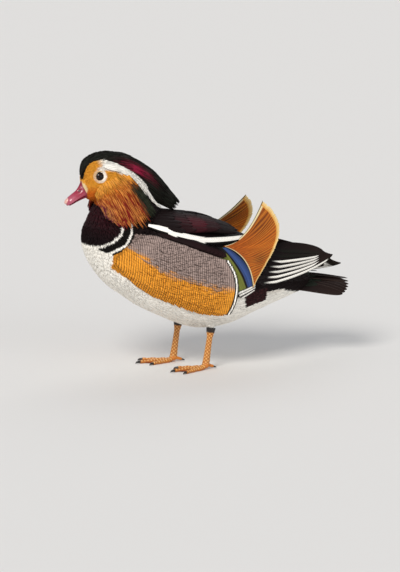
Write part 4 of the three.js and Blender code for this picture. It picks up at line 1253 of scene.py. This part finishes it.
def long_vanes(name, line, facing, half, tone, *, tip=3.0, **rest):
    """Stiff feathers of one thickness that face one way each."""
    across = (-1, -0.8, -0.5, -0.12, 0, 0.12, 0.5, 0.54, 0.58, 0.8, 1)
    lay(name, line, facing[:, None], half, tone=tone, thick=(0, 0.35), across=across, camber=0.06,
        tip=tip, base=0.55, look=VANE, **rest)


def primary_tone(i, g):
    s, t = g[:, 0], g[:, 1]
    tone = blend(BACK, BROWN, smooth(0.2, 0.9, t))
    tone = blend(tone, GREEN, 0.25 * smooth(0.2, 0.8, s))
    return blend(tone, WHITE, (s > 0.56) * smooth(0.03, 0.14, t) * (t < 0.93) * (i < 5) * 0.92)


for (side, label), tip in zip(SIDES, ((13, 189, 134), (11, 211, 118))):
    k = np.linspace(0, 1, 7)
    start = point(52.5 - 14.5 * k, 74 + 24 * k, 111 + 38 * k)
    end = np.array(tip) + point(1.5 * k, -20 * k * (1 - 0.35 * k), 5 * k - 3)
    centre = (start + end) / 2 + point(3.5 + 0.4 * np.arange(7), 0 * k, -3 + 6 * k)
    facing = unit(np.array([[0.92, 0.25, 0.3]]))
    long_vanes(f"primary_vanes_{label}", path((start, centre, end), 30), facing, 7.0, primary_tone,
               tip=3.4, side=side, nodes=(f"primaries_{label}",), slot="dark_feathers")


def fan(k, reach, lift, begin):
    """Three places along each tail feather, from the root out."""
    turn = np.radians(k * 4.8)
    roof = np.abs(k) * 4

    def at(d):
        fall = 12 * (np.maximum(d, 0) / 74) ** 1.3
        return point(k * 2.1 + np.sin(turn) * d, 140 + np.cos(turn) * d - np.abs(k) * 0.4,
                     110.5 + lift - roof * (0.8 + 0.2 * d / 74) - fall)

    return at(begin + 0 * reach), at(begin + (reach - begin) / 2), at(reach)


def tail_tone(i, g):
    s, t = g[:, 0], g[:, 1]
    tone = blend(BACK, BROWN, smooth(0.1, 0.9, t))
    return blend(tone, TAIL_EDGE, (np.abs(s) > 0.82) * 0.35)


k = np.linspace(-4.6, 4.6, 14)
facing = unit(point(k * 0.3, -0.12 + 0 * k, 1 + 0 * k))
long_vanes("tail_vanes", path(fan(k, 74 - 0.62 * k * k, 0.12 * (4.6 - np.abs(k)), -6), 26), facing,
           7.2, tail_tone, tip=3.6, nodes=("tail",), slot="dark_feathers")
k = np.array([-3.9, -2.3, -0.8, 0.8, 2.3, 3.9, -3.1, -1.5, 0, 1.5, 3.1, -2.2, 0.1, 2.2])
reach = np.array([30, 36, 41, 41, 36, 30, 24, 30, 33, 30, 24, 17, 22, 17], float)
lift = np.array([1.4] * 6 + [2.8] * 5 + [4.2] * 3)
facing = unit(point(k * 0.3, -0.1 + 0 * k, 1 + 0 * k))
long_vanes("tail_coverts", path(fan(k, reach, lift, -14), 16), facing, 6.6,
           lambda i, g: blend(BACK, GREEN, 0.5 * g[:, 1]), slot="dark_feathers")
k = np.linspace(-2, 2, 9)
facing = unit(point(k * 0.12, 0.12 + 0 * k, -1 + 0 * k))
long_vanes("undertail", path(fan(k, 36 - 1.1 * np.abs(k) ** 1.3, -7 + 0 * k, -16), 16), facing, 6.4,
           lambda i, g: blend(WHITE, GREY, 0.35 * g[:, 1]), tip=2.6, slot="white_feathers")


# Bill
read_bill = curve(BILL)


def in_bill(along, side, height):
    """Places given along, beside and above the bill's axis."""
    c, s = math.cos(BILL_DIP), math.sin(BILL_DIP)
    return point(side, BILL_BASE[0] - along * c - height * s,
                 BILL_BASE[1] - along * s + height * c)


def bill_part(start, stop, section, rows=90, around=72):
    along = np.linspace(start, stop, rows)[:, None]
    _, top, mouth, under, half = (v[..., 0][:, None] for v in read_bill(along))
    side, up = rounded(full_turn(around)[None], 2.3)
    x, height = section(side, up, top, mouth, under, half)
    dent = spot_at((along, 9.5, 2.6), (height, 2.4, 1.25))
    ridge = 0.12 * np.sin(along * 5.2) * smooth(2, -6, height) * (np.abs(side) > 0.75)
    x = x * (1 - 0.24 * dent) + np.sign(x) * ridge
    return in_bill(along, x, height), dent, along + 0 * x


def upper_section(side, up, top, mouth, under, half):
    narrow = 1 - 0.42 * np.maximum(up, 0) ** 2
    return side * half * narrow, np.where(up > 0, mouth + up * (top - mouth), mouth + up * 0.9)


def lower_section(side, up, top, mouth, under, half):
    roof = mouth - 1.75
    return side * half * 0.84, np.where(up > 0, roof + up * 0.5, roof + up * (roof - under))


rings, dent, along = bill_part(-6, 31.6, upper_section)
places, faces = loft(rings)
tone = blend(BILL_RED, BILL_ROOT, smooth(11, 0, along) * 0.7)
tone = blend(tone, BILL_FRONT, smooth(12, 26, along) * 0.7)
# Painted shade: the nostril is only a shallow dent, painted black for the dark of its opening.
tone = blend(tone, BLACK, smooth(0.45, 0.8, dent))
add("bill_upper_horn", places, faces, HORN, with_poles(tone), nodes=("bill_upper",))
places, faces = loft(bill_part(-6, 29.6, lower_section)[0])
# Painted shade: the lower bill is the bill's red darkened a quarter towards black, under the upper
# bill.
add("bill_lower_horn", places, faces, HORN, blend(BILL_RED, BLACK, 0.25), nodes=("bill_lower",))


def ball(rows, around):
    a = np.linspace(0.02, np.pi - 0.02, rows)[:, None]
    b = full_turn(around)[None]
    return point(np.cos(a) + 0 * b, np.sin(a) * np.cos(b), np.sin(a) * np.sin(b))


def turned(rings, angle):
    """Turned about X."""
    c, s = math.cos(angle), math.sin(angle)
    x, y, z = np.moveaxis(rings, -1, 0)
    return point(x, y * c - z * s, y * s + z * c)


nail = turned(ball(28, 40) * np.array([3.2, 4.7, 2.5]), BILL_DIP + math.radians(20))
places, faces = loft(nail + in_bill(28.6, 0.0, -0.3))
add("bill_nail", places, faces, HORN, NAIL, nodes=("bill_nail",))


# Eyes and lids
def eye(side, label):
    """A dark ball that bulges in front, with pupil, iris and rim."""
    rings = ball(60, 48)
    away = np.arccos(np.clip(rings[..., 0], -1, 1)) * EYE_RADIUS
    tone = blend(IRIS, PUPIL, smooth(3.2, 2.7, away))
    tone = blend(tone, EYE_RIM, smooth(4.1, 4.7, away))
    bulge = 1 + 0.05 * smooth(4.4, 0, away)
    places, faces = loft(rings * EYE_RADIUS * bulge[..., None] * 0.985 + EYE)
    add(f"eye_{label}", places, faces, WET, with_poles(tone), nodes=(f"eye_{label}",),
        side=side)


def eyelids(side, label):
    """A wrinkled ring round the eye."""
    round_eye = full_turn(96)[:, None]
    section = full_turn(20)[None]
    fold = 1 + 0.10 * np.sin(round_eye * 26) * (np.cos(section) > 0)
    ring = EYE_RADIUS + 0.35 + 0.8 * fold * np.cos(section) * (1 + 0.15 * np.sin(round_eye))
    x = EYE[0] + 3.1 + 0.95 * np.sin(section) - 0.018 * (ring * np.cos(round_eye)) ** 2
    lids = point(x, EYE[1] + ring * 1.06 * np.cos(round_eye), EYE[2] + ring * 0.93 * np.sin(round_eye))
    rows, columns = lids.shape[:2]
    near = np.arange(columns)
    after = (near + 1) % columns
    last = (rows - 1) * columns
    wrap = np.stack([last + near, last + after, after, near], -1)
    add(f"eyelids_{label}", lids.reshape(-1, 3), [grid_faces(rows, columns, True), wrap], LEATHER,
        LID, side=side)


for side, label in SIDES:
    eye(side, label)
    eyelids(side, label)


# Legs and feet
SCALE_PITCH = 1.55
HIND_WAY = unit(np.array([0, 0.95, -0.3]))


def across_of(along):
    side = unit(np.cross(along, np.array([0.02, 0.3, 1.0])))
    return side, unit(np.cross(side, along))


def tube_rings(centre, along, radius_x, radius_y, around):
    side, up = across_of(along)
    a = full_turn(around)
    return (centre[:, None] + side[:, None] * (radius_x * np.cos(a))[..., None]
            + up[:, None] * (radius_y * np.sin(a))[..., None])


def claw(name, rings):
    places, faces = loft(rings)
    add(f"claw_horn_{name}", places, faces, NAIL_HORN, CLAW, nodes=(f"claw_{name}",))


def toe_heading(side, turn):
    return side * math.radians(turn + LEG["toe_out"])


def toe_line(base, heading, d):
    """Places along a front toe, which comes down from the ankle to the floor."""
    z = 2.1 + 3.2 * np.maximum(0, 1 - d / 9) ** 1.6
    return point(base[0] + np.sin(heading) * d, base[1] - np.cos(heading) * d, z)


def hind(side, d):
    """Places along the hind toe."""
    base = ankle(side)
    return point(base[0] - side * 1.5 + 0 * d, base[1] + 2 + d * 0.95, 5.6 - 0.3 * d)


def foot(side, label):
    """Three scaled toes with webs between them, the hub and the hind toe."""
    base = ankle(side)
    parts, tones = [], []

    def keep(rings, tone):
        parts.append(loft(rings))
        tones.append(with_poles(np.broadcast_to(tone, rings.shape)))

    for _, turn, length in TOES:
        heading = toe_heading(side, turn)
        d = np.linspace(-2, length, 90)
        joint = 0.3 * np.cos(np.clip(d, 0, None) / (length / 3) * 2 * np.pi)[:, None]
        a = full_turn(24)[None]
        ripple = np.sin(d * SCALE_PITCH)[:, None]
        scale = 0.11 * np.abs(ripple) * (np.sin(a) > -0.2)
        radius = (3.1 - 1.2 * np.clip(d / length, 0, 1))[:, None] + joint + scale
        along = unit(toe_line(base, heading, d + 1) - toe_line(base, heading, d - 1))
        rings = tube_rings(toe_line(base, heading, d), along, radius, radius, 24)
        rings[..., 2] = np.maximum(rings[..., 2], 0)
        # Painted shade: the toe's grooves between its scales are darkened.
        groove = (np.abs(ripple) < 0.3) * (np.sin(a) > -0.2)
        tone = blend(LEG_ORANGE * 0.85, LEG_GROOVE_SHADE, groove * 0.6)
        dots = (ripple > 0.15) * (np.sin(a) > 0.35)
        keep(rings, blend(tone, LEG_DOT, dots * 0.75))
    for pair in (TOES[:2], TOES[1:]):
        t, s = np.meshgrid(np.linspace(0.12, 0.98, 50), np.linspace(0, 1, 40), indexing="ij")
        reach = t * (1 - 0.2 * t * np.sin(np.pi * s))
        a, b = (toe_line(base, toe_heading(side, turn), length * reach) for _, turn, length in pair)
        middle = a * (1 - s[..., None]) + b * s[..., None]
        crease = 0.10 * np.sin(s * 60 + 8 * t) * np.sin(np.pi * s)
        middle[..., 2] = np.maximum(middle[..., 2] - 0.7 * np.sin(np.pi * s) + crease - 0.1, 0.45)
        up = point(0, 0, 0.35)
        places, faces = shell(middle + up, middle - up)
        parts.append((places, [f[:, ::side] for f in faces]))
        vein = 0.5 + 0.5 * np.sin(s * 60 + 8 * t)
        tones.append(both_faces(blend(WEB, WEB_VEIN, vein * 0.4)))
    keep(ball(24, 32) * np.array([4.3, 4.7, 4.1]) + base + np.array([0, 0, -0.6]), LEG_ORANGE)

    d = np.linspace(0, 9, 30)
    along = np.broadcast_to(HIND_WAY, (30, 3))
    width = (1.7 - 0.4 * d / 9 + 0.08 * np.abs(np.sin(d * 2)))[:, None]
    rings = tube_rings(hind(side, d), along, width, (2.3 - 0.7 * d / 9)[:, None] + 0 * width, 20)
    keep(rings, LEG_ORANGE)
    places, faces = join(parts)
    add(f"foot_skin_{label}", places, faces, LEATHER, np.concatenate(tones),
        nodes=(f"foot_{label}",))


def tarsus(side, label):
    """The scaled lower leg, with plates in front and beads behind."""
    base = ankle(side)
    heel = base + np.array([0, LEG["lean"], LEG["heel"] - LEG["ankle"]])
    t = np.linspace(0, 1, 170)
    a = full_turn(32)[None]
    swell = 3.2 + 1.2 * (1 - t) ** 3 + 2 * smooth(0.7, 1, t)
    front = np.clip(np.sin(a), 0, 1)
    plate = np.abs(np.sin(t * 34))[:, None]
    beads = 0.5 + 0.5 * np.sin(t * 150)[:, None] * np.sin(a * 9)
    radius = swell[:, None] + 0.2 * plate * front + 0.09 * beads * (1 - front)
    along = np.broadcast_to(unit(heel - base), (170, 3))
    rings = tube_rings(base + (heel - base) * t[:, None], along, radius * 0.86, radius * 1.1, 32)
    places, faces = loft(rings)
    # Painted shade: the grooves between the plates in front and between the beads behind are darkened.
    creases = (plate < 0.28) * (front > 0.15) * 0.55 + 0.25 * (1 - beads) * (1 - front)
    dots = np.sin(t * 66)[:, None] * np.sin(a * 5) > 0.22
    tone = blend(blend(LEG_ORANGE, LEG_GROOVE_SHADE, creases) * 0.8, LEG_DOT, dots * 0.8)
    # Painted shade: the top of the tarsus goes dark where the heel runs up under the belly.
    tone = blend(tone, BACK, smooth(0.85, 0.9, t)[:, None] + 0 * a)
    add(f"tarsus_skin_{label}", places, faces, LEATHER, with_poles(tone), nodes=(f"tarsus_{label}",))


def claws(side, label):
    """Curved claws on the three front toes, and the hind one."""
    for name, turn, length in TOES:
        heading = toe_heading(side, turn)
        d = np.linspace(-0.4, 6, 26)
        line = toe_line(ankle(side), heading, length + 0.35 + d)
        line[:, 2] = 2.15 - 0.045 * d * d + 0.1 * d - 0.75 * smooth(4.6, 6, d)
        radius = 1.6 * np.sqrt(np.clip(1 - (np.clip(d, 0, 6) / 6.05) ** 1.7, 0, 1))[:, None]
        along = unit(np.gradient(line, axis=0))
        rings = tube_rings(line, along, radius * 0.85, radius, 20)
        rings[..., 2] = np.maximum(rings[..., 2], 0.05)
        claw(f"{label}_{name}", rings)
    d = np.linspace(8.8, 13.6, 20)
    radius = 1.15 * np.sqrt(np.clip(1 - ((d - 8.8) / 4.9) ** 1.6, 0, 1))[:, None]
    along = np.broadcast_to(HIND_WAY, (20, 3))
    claw(f"{label}_hind", tube_rings(hind(side, d), along, radius, radius, 16))


for side, label in SIDES:
    foot(side, label)
    tarsus(side, label)
    claws(side, label)


# Floor, light and camera
def floor(reach=14):
    pale = bpy.data.materials.new("pale_floor")
    pale.use_nodes = True
    shader = pale.node_tree.nodes["Principled BSDF"]
    shader.inputs["Base Color"].default_value = (0.78, 0.77, 0.75, 1)
    shader.inputs["Roughness"].default_value = 0.9
    mesh = bpy.data.meshes.new("floor")
    corners = [(x * reach, y * reach, 0) for x, y in ((-1, -1), (1, -1), (1, 1), (-1, 1))]
    mesh.from_pydata(corners, [], [(0, 1, 2, 3)])
    mesh.materials.append(pale)
    piece = link("floor", mesh)


def lamp(name, where, spread, power, tint=(1, 1, 1)):
    light = bpy.data.lights.new(name, "SUN")
    light.angle = math.radians(spread)
    light.energy = power
    light.color = tint
    made = link(name, light)
    made.location = where
    made.rotation_euler = (Vector((0, 0, 0.13)) - Vector(where)).to_track_quat("-Z", "Y").to_euler()


floor()
lamp("key", (1.6, -1.5, 1.8), 22, 2.2, (1, 0.97, 0.93))
lamp("fill", (1.9, 0.6, 0.45), 50, 0.8, (0.95, 0.97, 1))
lamp("back", (-1.6, 0.9, 1.7), 40, 0.45)
world = bpy.data.worlds.new("studio")
world.use_nodes = True
world.node_tree.nodes["Background"].inputs["Color"].default_value = (0.93, 0.95, 1, 1)
world.node_tree.nodes["Background"].inputs["Strength"].default_value = 0.42
bpy.context.scene.world = world

AZIMUTH, ELEVATION, DISTANCE, VIEW_HEIGHT = math.radians(68), math.radians(10), 6.0, 0.715
camera = bpy.data.cameras.new("camera")
camera.lens = camera.sensor_width * DISTANCE / VIEW_HEIGHT
camera.clip_start, camera.clip_end = 0.1, 60
watcher = link("camera", camera)
target = Vector((np.array([0, 14.3, 100.0]) + SHIFT) / 1000)
back = Vector((math.sin(AZIMUTH) * math.cos(ELEVATION), -math.cos(AZIMUTH) * math.cos(ELEVATION),
               math.sin(ELEVATION)))
watcher.location = target + back * DISTANCE
watcher.rotation_euler = (-back).to_track_quat("-Z", "Y").to_euler()
bpy.context.scene.camera = watcher
bpy.context.scene.view_settings.view_transform = "Standard"
